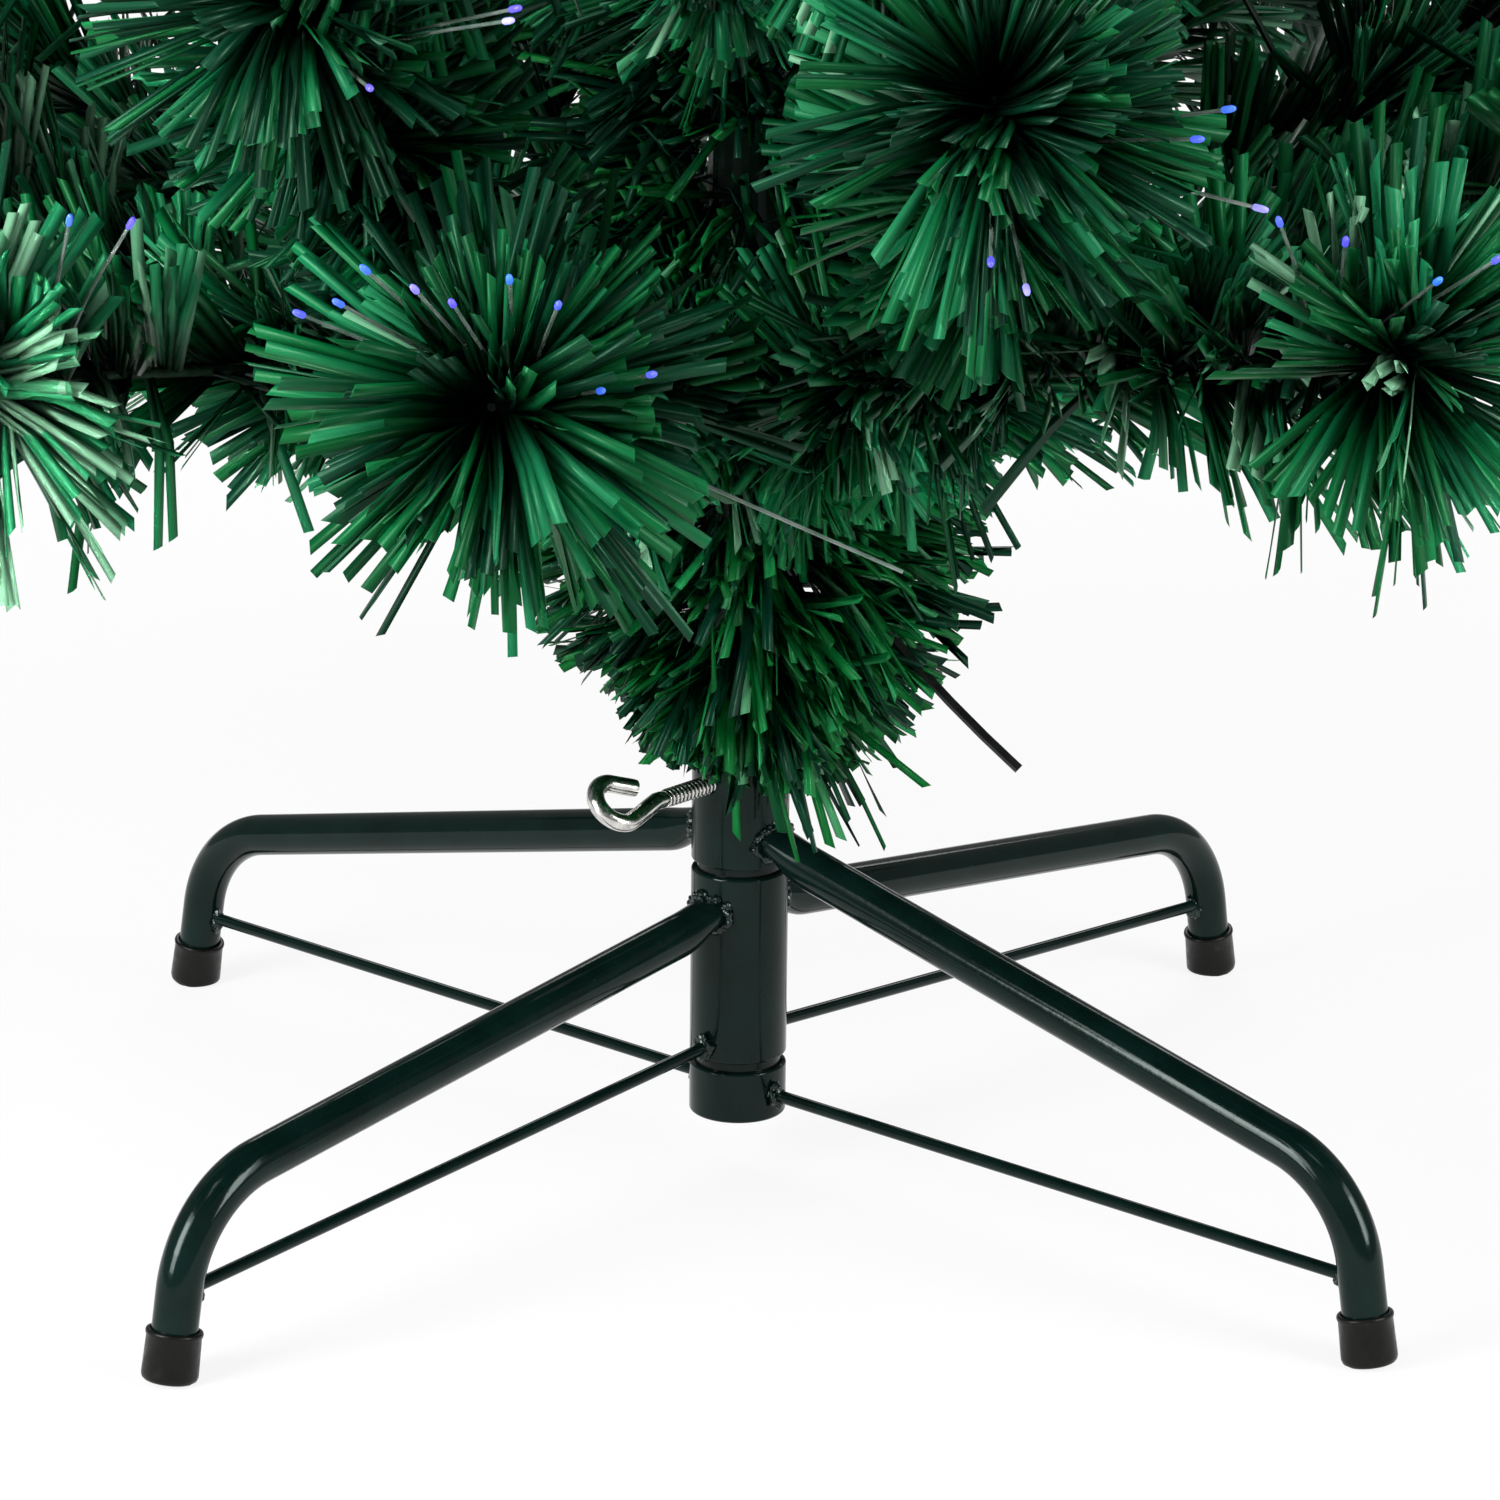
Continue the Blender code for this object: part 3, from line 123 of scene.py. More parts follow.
# Heights of the leg at the hub, and of the brace at the hub and at the foot
LEG_HEIGHTS = {"frame_a": (0.111, 0.02585, 0.0258), "frame_b": (0.0866, 0.0428, 0.027)}
LEG_PLACES = (("back_left", 135.0, "frame_a"), ("front_right", -45.0, "frame_a"),
              ("front_left", -135.0, "frame_b"), ("back_right", 45.0, "frame_b"))
CAP_R = 0.0088
CAP_TOP_R = 0.0085
CAP_HEIGHT = 0.016
CAP_FLOOR = 0.0026
CAP_SIDES = 64

# Welds: the bead round a leg, the drops at a brace's ends and the spatter; each lump is a
# strength and a noise scale
BEAD_R = 0.0018
BEAD_LUMPS = ((0.55, 260.0), (0.5, 620.0))
BLOB_R = 0.0038
BLOB_LUMPS = ((0.42, 480.0), (0.26, 1100.0))
SPATTER = 18
SPATTER_R = 0.0014

# Eye bolt, in its own frame: +X out of the hub
BOLT_AZIMUTH = math.radians(-135.0)
BOLT_HEIGHT = 0.1333
BOLT_R = 0.003
BOLT_THREAD_END = 0.037
BOLT_SIDES = 24
EYE_WIRE_R = 0.0029
EYE_R = 0.0077
EYE_CENTRE_OUT = 0.057
EYE_CENTRE_RISE = 0.0038
EYE_TILT = math.radians(48.0)
EYE_START_ANGLE = math.radians(-112.0)
EYE_END_ANGLE = math.radians(128.0)
EYE_ARM = 0.0072
EYE_ARM_TURN = math.radians(12.0)
THREAD_PITCH = 0.0018
THREAD_DEPTH = 0.00055
THREAD_CREST_R = 0.0031
CREST_SHARPNESS = 1.5
STEPS_PER_THREAD = 12
THREAD_RUN_IN = 0.0012
THREAD_RUN_OUT = 0.001

# One strip of film: height of its ridge, taper by its length and power of its slanted cut
RIDGE_SHARE = 0.1
STRIP_TAPER = ((0.0, 0.4, 1.0), (0.55, 1.0, 1.0))
CUT_POWER = 6
CUT_SPREAD = 0.24
# One comb: how its strips part, lie side by side and differ
COMB_FAN = (0.01, 0.06)
COMB_SLANT = 0.0007
STRIP_PITCH_SHARE = 0.42
WIDTH_SPREAD = 0.14
LENGTH_SPREAD = 0.03
OWN_CURL_SHARE = 0.35
TONE_BETA = (1.5, 2.0)
TONE_SPREAD = 0.1
# A strip that is in the way is cut to these shares before it is left out
SHORTER_SHARES = (0.8, 0.78, 0.75)
# How far strips may pass the solids' box, and the least that is left of one
BOX_ROOM = 0.028
LEAST_ROOM = 0.01

# Brushes: combs along a stem and in the fan at its tip
NEEDLE_REACHES = (0.06, 0.059, 0.058, 0.058, 0.057, 0.056, 0.055)
TOP_REACH = 0.054
COMBS_PER_METRE = (480.0, 460.0, 440.0, 440.0, 470.0, 490.0, 500.0)
TOP_COMBS_PER_METRE = 560.0
FAN_COMBS = 40
FAN_DEPTH = 0.012
FAN_LEAN = 74.0
FAN_LEAN_POWER = 1.25
BRUSH_RANGE = (0.04, 0.985)
BRUSH_CROWDING = 0.9
SLOPE_STEP = 0.006
WIRE_OFFSET = 0.0012
LEAN_SPREAD = 9.0
BRANCH_COMB_TURN = 0.7
SIZE_BY_SHARE = ((0.0, 0.55, 1.0), (0.78, 0.9, 1.0))
SIZE_SPREAD = (0.86, 1.04)
BELOW_SHARES = (0.7, 0.88)
SHORTER_BELOW = 0.3
FEWER_BELOW = 0.72
HEEL_LENGTH = 0.07
HEEL_LOWEST = -0.3
HEEL_LEAN = 0.45
HEEL_SIZES = (0.8, 1.0)
HEEL_COMBS = (52, 50, 44, 48, 56, 56, 60)
TOP_HEEL_COMBS = 70
STRAYS_PER_STEM = 26
STRAY_FROM = 0.25
STRAY_SIZE = 1.04
STRAY_SHORTER_BELOW = 0.45
STRAY_MOST_AHEAD = 0.8
BRANCH_LOOK = dict(least=3, most=8, width=0.0033, stray=0.035, roll=0.2, curl=0.003, droop=0.003,
                   twist=0.35, leans=(60.0, 50.0, 34.0), painted_light=0.0, edge=None)
TOP_LOOK = dict(BRANCH_LOOK, leans=(44.0, 44.0, 40.0))
STRAY_LOOK = dict(least=1, most=3, curl=0.008, droop=0.006)

# Painted light on single stems: a painted sheen that raises the tone of fans the lamps light (one
# given slightly lower), on the inner and the outer part, and a painted shade that darkens the heart
# of each fan
PLAIN = (0.0, 0.0)
PAINTED_LIGHT_SHARES = (0.66, 0.84)
PAINTED_LIGHT_GAIN = 1.6
PAINTED_LIGHT_STEMS = {
    "branch_1_1": ((0.34, 0.36), (0.15, 0.32), (0.1, 0.36)),
    "branch_1_2": ((-0.08, -0.08), (0.05, 0.48), PLAIN),
    "branch_1_3": (PLAIN, (0.12, 0.22), (0.2, 0.28)),
    "branch_1_4": (PLAIN, PLAIN, (0.2, 0.28)),
}
HEART_PAINTED_SHADE = 0.75
HEART_SHADE_SINES = (0.88, 0.96)
# Shares of combs left out in the middle of single stems: of all, and of those that hang
THINNED_SHARES = (0.12, 0.22, 0.62, 0.78)
HANGING_GAIN = 1.8
THINNED_STEMS = {
    "branch_1_1": (PLAIN, (0.35, 0.0), (0.45, 0.0)),
    "branch_1_2": (PLAIN, (0.2, 0.0), PLAIN),
    "branch_1_3": ((0.0, 0.9), (0.0, 0.92), (0.0, 0.92)),
    "branch_1_4": ((0.0, 0.92),) * 3,
    "branch_1_5": ((0.0, 0.92),) * 3,
    "branch_1_8": (PLAIN, (0.6, 0.0), (0.6, 0.0)),
}

# Room kept free round the eye bolt and its travel
SHANK_ROOM = 0.0066
EYE_FROM = 0.035
EYE_ROOM = 0.0125
CHECKED_SHARES = (0.35, 0.5, 0.7, 0.85, 1.0)
# Lower edges of the tinsel, seen from the front: they hang lower on the right
SKIRT_SIDE = (0.998, -0.063, 0.0)
SKIRT_FRONT = (-0.063, -0.998, 0.0)
SKIRT_SLOPE = 0.291
SKIRT_SIDES = (-0.076, -0.06, -0.044, -0.039, -0.031, -0.016, -0.007,
               0.0, 0.022, 0.03, 0.046, 0.06, 0.068, 0.086)
LEFT_HEIGHTS = (0.186, 0.172, 0.164, 0.153, 0.141, 0.136)
SKIRT_HEIGHTS = LEFT_HEIGHTS + (0.134, 0.132, 0.131, 0.134, 0.142, 0.15, 0.16, 0.192)
COLLAR_HEIGHTS = LEFT_HEIGHTS + (0.1335, 0.13, 0.125, 0.127, 0.138, 0.15, 0.16, 0.192)
STRAND_HEIGHTS = LEFT_HEIGHTS + (0.133, 0.106, 0.104, 0.098, 0.104, 0.118, 0.15, 0.19)
RAGGED_DEPTH = 0.0055
RAGGED_WAVES = (7100.0, 5300.0, 4700.0)
STRAND_WAVES = (9100.0, 8300.0, 6700.0)
STRAND_LIMIT = 0.15
TINSEL_LOOK = dict(least=2, most=7, width=0.0033, stray=0.15, roll=0.55, curl=0.007, droop=0.008,
                   twist=0.9, painted_light=0.0, edge=SKIRT_HEIGHTS)
STRAND_LOOK = dict(TINSEL_LOOK, least=1, most=4, edge=STRAND_HEIGHTS)
COLLAR_LOOK = dict(TINSEL_LOOK, stray=0.12, curl=0.003, droop=0.002, edge=COLLAR_HEIGHTS)
# Each layer: combs, heights, the leans at these heights and their spread, the lengths, the look
TINSEL_LAYERS = (
    (300, (0.15, 0.163, 0.18, 0.205, 0.245), (-56.0, -40.0, -20.0, -11.0, 0.0), 13.0,
     (0.03, 0.046, 0.056, 0.06, 0.058), TINSEL_LOOK),
    (260, (0.245, 0.3, 0.4), (6.0, 8.0, 4.0), 26.0, (0.056, 0.052, 0.05), TINSEL_LOOK),
    (90, (0.147, 0.17), (-74.0, -60.0), 10.0, (0.018, 0.034), COLLAR_LOOK),
    (24, (0.156, 0.185), (-62.0, -48.0), 16.0, (0.05, 0.062), STRAND_LOOK),
)
TINSEL_ROOT_OFFSET = 0.0015
TINSEL_SWIRL = 0.3
TINSEL_COMB_TURN = 0.8
TINSEL_SIZE_SPREAD = (0.84, 1.1)
# Root and tip of each single strand as side, front and height, then its width and tone
FRONT_STRANDS = (
    (-0.003, 0.0185, 0.158, 0.0, 0.02, 0.1195, 0.0026, 0.78),
    (0.004, 0.019, 0.16, 0.008, 0.0215, 0.135, 0.003, 0.52),
    (0.006, 0.019, 0.157, 0.0185, 0.035, 0.1165, 0.0022, 0.62),
    (0.01, 0.018, 0.156, 0.021, 0.036, 0.123, 0.003, 0.22),
    (0.016, 0.015, 0.16, 0.0295, 0.039, 0.12, 0.003, 0.66),
    (0.018, 0.013, 0.162, 0.036, 0.033, 0.127, 0.0018, 0.3),
    (0.02, 0.012, 0.164, 0.05, 0.031, 0.121, 0.0016, 0.4),
    (0.02, 0.01, 0.166, 0.06, 0.026, 0.137, 0.0026, 0.7),
    (-0.012, 0.017, 0.16, -0.0085, 0.0195, 0.141, 0.0028, 0.45),
)

# Fibres placed by branch and stem: azimuth, elevation and length of each
PLACED_FIBRES = {
    ("branch_1_2", 2): ((-118, 43, 0.058), (-104, 40, 0.058), (-70, 39, 0.058), (-85, 47, 0.058),
                        (-142, 35, 0.06), (-136, 44, 0.062), (-43, 18, 0.056), (-46, 16, 0.04),
                        (-147, 29, 0.066), (-11, -20, 0.112)),
    ("branch_1_2", 0): ((-38, 0, 0.07), (-30, 1, 0.066), (-69, -14, 0.06)),
    ("branch_1_2", 1): ((-34, 52, 0.06), (-17, 43, 0.066)),
    ("branch_1_3", 0): ((-96, -32, 0.058), (-84, -42, 0.058), (-27, 3, 0.062), (-36, -3, 0.058),
                        (-13, -20, 0.072)),
    ("branch_1_3", 1): ((-141, 39, 0.07), (-94, 37, 0.05), (-129, 44, 0.055), (-77, 38, 0.06)),
}
FIBRE_R = 0.0005
FIBRE_SIDES = 7
FIBRE_SETBACK = 0.042
FIBRE_SAG = 0.003
LONG_FIBRE = 0.1
FIBRES_PER_STEM = 7
LIT_SHARE = 0.7
LIT_R = 0.0009
LIT_SIDES = 8
LIT_LENGTH = 0.0042

# Colours by tone, as place and colour: needles, and tinsel. The palest needle stops are partly a
# painted sheen, reached where painted light raises the tone of lit stems, and partly random tone.
NEEDLE_GREENS = [(0.0, (0.0005, 0.019, 0.008)), (0.22, (0.0012, 0.038, 0.018)),
                 (0.42, (0.0006, 0.066, 0.014)), (0.62, (0.0014, 0.112, 0.03)),
                 (0.8, (0.005, 0.134, 0.052)), (0.93, (0.018, 0.22, 0.085)),
                 (1.0, (0.15, 0.34, 0.205))]
TINSEL_GREENS = [(0.0, (0.0006, 0.018, 0.01)), (0.28, (0.0012, 0.04, 0.018)),
                 (0.5, (0.001, 0.085, 0.014)), (0.74, (0.002, 0.15, 0.026)),
                 (0.92, (0.008, 0.22, 0.06)), (1.0, (0.07, 0.26, 0.12))]

# Lamps: place, target, size, power and spread of the beam
TREE_FOOT = (0.0, 0.0, 0.25)
LAMPS = (
    ("key", (-1.9, -1.3, 1.5), TREE_FOOT, (1.3, 1.3), 46.0, 180.0),
    ("side_left", (-1.0, -0.7, 0.55), (-0.4, -0.16, 0.3), (0.4, 0.7), 13.0, 180.0),
    ("side_right", (1.05, -0.85, 0.6), (0.36, -0.2, 0.32), (0.4, 0.7), 10.0, 180.0),
    ("left_beam", (-0.62, -0.9, 0.34), (-0.25, -0.35, 0.36), (0.12, 0.12), 0.15, 16.0),
    ("right_beam", (0.62, -0.95, 0.34), (0.21, -0.37, 0.35), (0.12, 0.12), 0.15, 16.0),
    ("fill", (1.9, -1.2, 1.3), TREE_FOOT, (1.0, 1.6), 26.0, 180.0),
    ("back", (0.3, 2.2, 1.8), TREE_FOOT, (2.0, 1.0), 22.0, 180.0),
    ("top", (0.0, -0.9, 2.6), TREE_FOOT, (1.6, 1.0), 24.0, 180.0),
)
FLOOR_SIZE = 12.0

SCENE = bpy.context.scene
UP = Vector((0.0, 0.0, 1.0))
BOLT_WAY = Vector((math.cos(BOLT_AZIMUTH), math.sin(BOLT_AZIMUTH), 0.0))
NO_CAPS = np.zeros((0, 3), dtype=int)
RNG = np.random.default_rng(20)
THINNING = np.random.default_rng(21)


# Materials

def grey(value):
    return (value, value, value, 1.0)


def principled(name, **inputs):
    """A new material, its node tree and its shader with inputs set; _ stands for a space."""
    mat = bpy.data.materials.new(name)
    mat.use_nodes = True
    shader = mat.node_tree.nodes["Principled BSDF"]
    for key, value in inputs.items():
        shader.inputs[key.replace("_", " ")].default_value = value
    return mat, mat.node_tree, shader


def node(tree, kind, **settings):
    """Add a node; settings named in_X set the input socket X."""
    made = tree.nodes.new(kind)
    for key, value in settings.items():
        if key.startswith("in_"):
            made.inputs[key[3:].replace("_", " ")].default_value = value
        else:
            setattr(made, key, value)
    return made


def link(tree, *pairs):
    for source, socket in pairs:
        tree.links.new(source, socket)


def ramp(tree, source, stops):
    """Colour ramp from a value socket; stops are a place and a colour, or a grey's value."""
    made = tree.nodes.new("ShaderNodeValToRGB")
    held = made.color_ramp.elements
    for place, _ in stops[1:-1]:
        held.new(place)
    for element, (place, colour) in zip(held, stops):
        element.position = place
        element.color = (*colour, 1.0) if isinstance(colour, tuple) else grey(colour)
    link(tree, (source, made.inputs["Fac"]))
    return made.outputs["Color"]


def attribute_ramp(tree, key, stops):
    """Colour ramp from a value that the mesh holds on its points."""
    held = node(tree, "ShaderNodeAttribute", attribute_name=key)
    return ramp(tree, held.outputs["Fac"], stops)


def object_noise(tree, scale, detail):
    """Noise in object coordinates, whose unit is a metre."""
    where = tree.nodes.new("ShaderNodeTexCoord")
    clouds = node(tree, "ShaderNodeTexNoise", in_Scale=scale, in_Detail=detail)
    link(tree, (where.outputs["Object"], clouds.inputs["Vector"]))
    return clouds.outputs["Fac"]


def clouded(name, colour=None, rough=None, bump=None, **inputs):
    """A material by noise: scale, detail and stops of its colour and its roughness, and
    scale, detail, depth in metres and strength of its bump."""
    mat, tree, shader = principled(name, **inputs)
    for socket, rows in (("Base Color", colour), ("Roughness", rough)):
        if rows:
            scale, detail, stops = rows
            colours = ramp(tree, object_noise(tree, scale, detail), stops)
            link(tree, (colours, shader.inputs[socket]))
    if bump:
        scale, detail, depth, strength = bump
        made = node(tree, "ShaderNodeBump", in_Distance=depth, in_Strength=strength)
        link(tree, (object_noise(tree, scale, detail), made.inputs["Height"]),
             (made.outputs["Normal"], shader.inputs["Normal"]))
    return mat, tree, shader


def colour_by_product(tree, shader, first, second):
    mix = node(tree, "ShaderNodeMix", data_type="RGBA", blend_type="MULTIPLY")
    mix.inputs["Factor"].default_value = 1.0
    link(tree, (first, mix.inputs["A"]), (second, mix.inputs["B"]),
         (mix.outputs["Result"], shader.inputs["Base Color"]))


def paint(name, dark, light, roughness, shine=0.19, peel_scale=420.0, peel_depth=0.00005):
    """Gloss paint: slight mottling, dust specks and orange peel."""
    return clouded(name, (60.0, 3.0, [(0.35, dark), (0.7, light)]),
                   (900.0, 2.0, [(0.7, roughness), (0.78, 0.5)]),
                   (peel_scale, 2.0, peel_depth, 0.5),
                   Specular_IOR_Level=shine, Specular_Tint=(0.84, 1.0, 0.95, 1.0))[0]


def plain_looks():
    """Materials by slot: the paints, satin rubber with scuffs, glossy black nylon, milky
    clear fibre and dark green twisted wire."""
    scuffs = [(0.4, (0.003, 0.003, 0.0024)), (0.66, (0.005, 0.005, 0.004)),
              (0.8, (0.018, 0.018, 0.015))]
    black = [(0.4, (0.004, 0.004, 0.004)), (0.7, (0.012, 0.012, 0.012))]
    milk = [(0.35, (0.12, 0.19, 0.15)), (0.7, (0.3, 0.36, 0.33))]
    dark = [(0.4, (0.004, 0.012, 0.006)), (0.7, (0.01, 0.03, 0.014))]
    return {
        "stand_paint": paint("gloss_green_paint", (0.0013, 0.0064, 0.0052),
                             (0.0024, 0.0104, 0.0086), 0.12),
        "pole_paint": paint("pole_green_paint", (0.003, 0.012, 0.007),
                            (0.006, 0.02, 0.012), 0.25),
        "sleeve_paint": paint("sleeve_dark", (0.002, 0.004, 0.004),
                              (0.004, 0.007, 0.006), 0.18),
        "weld": paint("painted_weld", (0.001, 0.0045, 0.0038), (0.0022, 0.009, 0.0075),
                      0.08, 0.42, 700.0, 0.0009),
        "rubber": clouded("cap_rubber", (170.0, 7.0, scuffs),
                          (300.0, 4.0, [(0.35, 0.26), (0.7, 0.46)]),
                          (800.0, 4.0, 0.0001, 0.6), Specular_IOR_Level=0.18)[0],
        "black_nylon": clouded("tie_nylon", (200.0, 3.0, black), None, (700.0, 3.0, 0.00006, 0.5),
                               Roughness=0.28)[0],
        "fibre": clouded("clear_fibre", (120.0, 3.0, milk), Roughness=0.22,
                         Transmission_Weight=0.45, IOR=1.49)[0],
        "wire": clouded("stem_wire", (300.0, 3.0, dark), None, (800.0, 3.0, 0.0002, 0.6),
                        Roughness=0.45, Specular_IOR_Level=0.12)[0],
    }


def nickel_material():
    """Bright plated wire with faint tarnish, and painted shade that darkens the valleys of its
    thread.
    """
    mat, tree, shader = clouded("bolt_nickel", None,
                                (700.0, 3.0, [(0.35, 0.14), (0.7, 0.28)]),
                                (900.0, 3.0, 0.00005, 0.5), Metallic=1.0)
    tarnish = ramp(tree, object_noise(tree, 350.0, 5.0),
                   [(0.35, (0.52, 0.51, 0.49)), (0.65, (0.8, 0.79, 0.76))])
    # Painted shade: the thread's valleys are darkened by the crest height held in tone
    valley_shade = attribute_ramp(tree, "tone", [(0.15, 0.06), (0.75, 1.0)])
    colour_by_product(tree, shader, tarnish, valley_shade)
    return mat


def film_material(name, stops, roughness):
    """Cut plastic film: hue and tone by strip, and painted shade that darkens each strip toward its
    root, the end keeping the full tone.
    """
    streak = [(0.35, roughness), (0.7, roughness + 0.12)]
    mat, tree, shader = clouded(name, None, (260.0, 2.0, streak), (500.0, 2.0, 0.0001, 0.4),
                                Specular_IOR_Level=0.26, Specular_Tint=(0.46, 1.0, 0.64, 1.0))
    # Painted shade along each strip: near black at the root, full tone near the end
    shade = [(0.0, 0.03), (0.3, 0.26), (0.62, 0.8), (1.0, 1.0)]
    colour_by_product(tree, shader, attribute_ramp(tree, "tone", stops),
                      attribute_ramp(tree, "along", shade))
    return mat


def lit_material():
    """The lit end of a fibre, blue to violet."""
    mat, tree, shader = principled("lit_fibre_end", Emission_Strength=0.75, Roughness=0.3)
    blues = [(0.0, (0.03, 0.16, 0.75)), (0.5, (0.08, 0.06, 0.75)),
             (1.0, (0.34, 0.32, 0.85))]
    colour = attribute_ramp(tree, "tone", blues)
    link(tree, (colour, shader.inputs["Base Color"]), (colour, shader.inputs["Emission Color"]))
    return mat


# Meshes

def add_object(name, data):
    made = bpy.data.objects.new(name, data)
    SCENE.collection.objects.link(made)
    return made


def smooth(made, degrees):
    """Smooth shading with sharp edges from an angle on."""
    made.data.shade_smooth()
    made.data.set_sharp_from_angle(angle=math.radians(degrees))


def mesh_from(name, verts, quads, caps, values, material):
    """A mesh object from arrays, with float values on its points."""
    mesh = bpy.data.meshes.new(name)
    loops = np.concatenate([quads.ravel(), caps.ravel()]).astype(np.int32)
    totals = np.concatenate([np.full(len(quads), 4), np.full(len(caps), 3)])
    starts = (np.cumsum(totals) - totals).astype(np.int32)
    mesh.vertices.add(len(verts))
    mesh.vertices.foreach_set("co", verts.astype(np.float32).ravel())
    mesh.loops.add(len(loops))
    mesh.loops.foreach_set("vertex_index", loops)
    mesh.polygons.add(len(totals))
    mesh.polygons.foreach_set("loop_start", starts)
    mesh.update(calc_edges=True)
    mesh.validate()
    for key, data in values.items():
        held = mesh.attributes.new(key, "FLOAT", "POINT")
        held.data.foreach_set("value", data.astype(np.float32))
    mesh.materials.append(material)
    return add_object(name, mesh)


def circle(sides):
    """Cosine and sine of each corner of a ring."""
    turns = [math.tau * corner / sides for corner in range(sides)]
    return [(math.cos(turn), math.sin(turn)) for turn in turns]


def ring_faces(rings, sides, closed=False):
    """Quads between rings of vertices, and triangles over both ends, or a closed loop."""
    quads, caps = [], []
    for index in range(rings if closed else rings - 1):
        low, high = index * sides, (index + 1) % rings * sides
        for corner in range(sides):
            follow = (corner + 1) % sides
            quads.append((low + corner, low + follow, high + follow, high + corner))
    last = (rings - 1) * sides
    for corner in range(1, sides - 1):
        caps += [(0, corner + 1, corner), (last, last + corner, last + corner + 1)]
    return np.array(quads), NO_CAPS if closed else np.array(caps)


def tube_arrays(points, sizes, sides, across=None):
    """Rings of a tube along points; a size is a radius, or one across and one up."""
    points = [Vector(point) for point in points]
    rings, hint = [], across
    for index, centre in enumerate(points):
        along = points[min(index + 1, len(points) - 1)] - points[max(index - 1, 0)]
        along.normalize()
        if hint is None:
            hint = along.orthogonal().normalized()
        hint = (hint - along * hint.dot(along)).normalized()
        above = along.cross(hint)
        wide, high = sizes[index] if isinstance(sizes[index], tuple) else (sizes[index],) * 2
        rings += [tuple(centre + hint * (x * wide) + above * (y * high)) for x, y in circle(sides)]
    return np.array(rings), *ring_faces(len(points), sides)


class Tubes:
    """Collects tubes into one mesh."""

    def __init__(self):
        self.rows, self.count = [], 0

    def add(self, points, sizes, sides, tone=0.5, across=None):
        self.add_arrays(*tube_arrays(points, sizes, sides, across), tone)

    def add_arrays(self, verts, quads, caps, tone=0.5):
        tones = np.full(len(verts), tone)
        self.rows.append((verts, quads + self.count, caps + self.count, tones))
        self.count += len(verts)

    def build(self, name, material):
        verts, quads, caps, tones = (np.concatenate(rows) for rows in zip(*self.rows))
        made = mesh_from(name, verts, quads, caps, {"tone": tones}, material)
        smooth(made, 50)
        return made


# Strips and combs of film

def vary(spread, shape):
    return RNG.normal(0.0, spread, shape)


def unit(rows):
    return rows / np.linalg.norm(rows, axis=1, keepdims=True)


class Strips:
    """Collects closed thin strips of three-sided section."""

    def __init__(self):
        self.rows = []

    def add(self, **arrays):
        self.rows.append(arrays)

    def arrays(self, steps):
        """Vertices, faces, tone and place along for every strip."""
        held = {key: np.concatenate([row[key] for row in self.rows]) for key in self.rows[0]}
        count = len(held["tone"])
        root, heading, flat, bend, length, width, twist, shear = (
            held[key].reshape(count, 1, -1)
            for key in ("root", "heading", "side", "bend", "length", "width", "twist", "shear"))
        t = np.linspace(0.0, 1.0, steps + 1)[:, None]
        centre = root + heading * (length * t) + bend * (t * t)
        side = flat * np.cos(twist * t) + np.cross(heading, flat) * np.sin(twist * t)
        normal = np.cross(np.broadcast_to(heading, side.shape), side)
        half = side * (width * np.interp(t, *STRIP_TAPER) / 2)
        slant = heading * (shear * width) * t ** CUT_POWER
        ridge = normal * (width * RIDGE_SHARE)
        corners = (centre - half - slant, centre + half + slant, centre + ridge)
        verts = np.stack(corners, axis=2).reshape(-1, 3)
        top = steps * 3
        base = (np.arange(count) * (top + 3))[:, None]
        quads = [base + np.array([[low + a, low + b, low + b + 3, low + a + 3]])
                 for low in range(0, top, 3) for a, b in ((0, 1), (1, 2), (2, 0))]
        caps = [base + np.array([[0, 2, 1]]), base + np.array([[top, top + 1, top + 2]])]
        values = {"tone": np.repeat(held["tone"], top + 3),
                  "along": np.tile(np.repeat(t, 3), count)}
        return verts, np.concatenate(quads), np.concatenate(caps), values


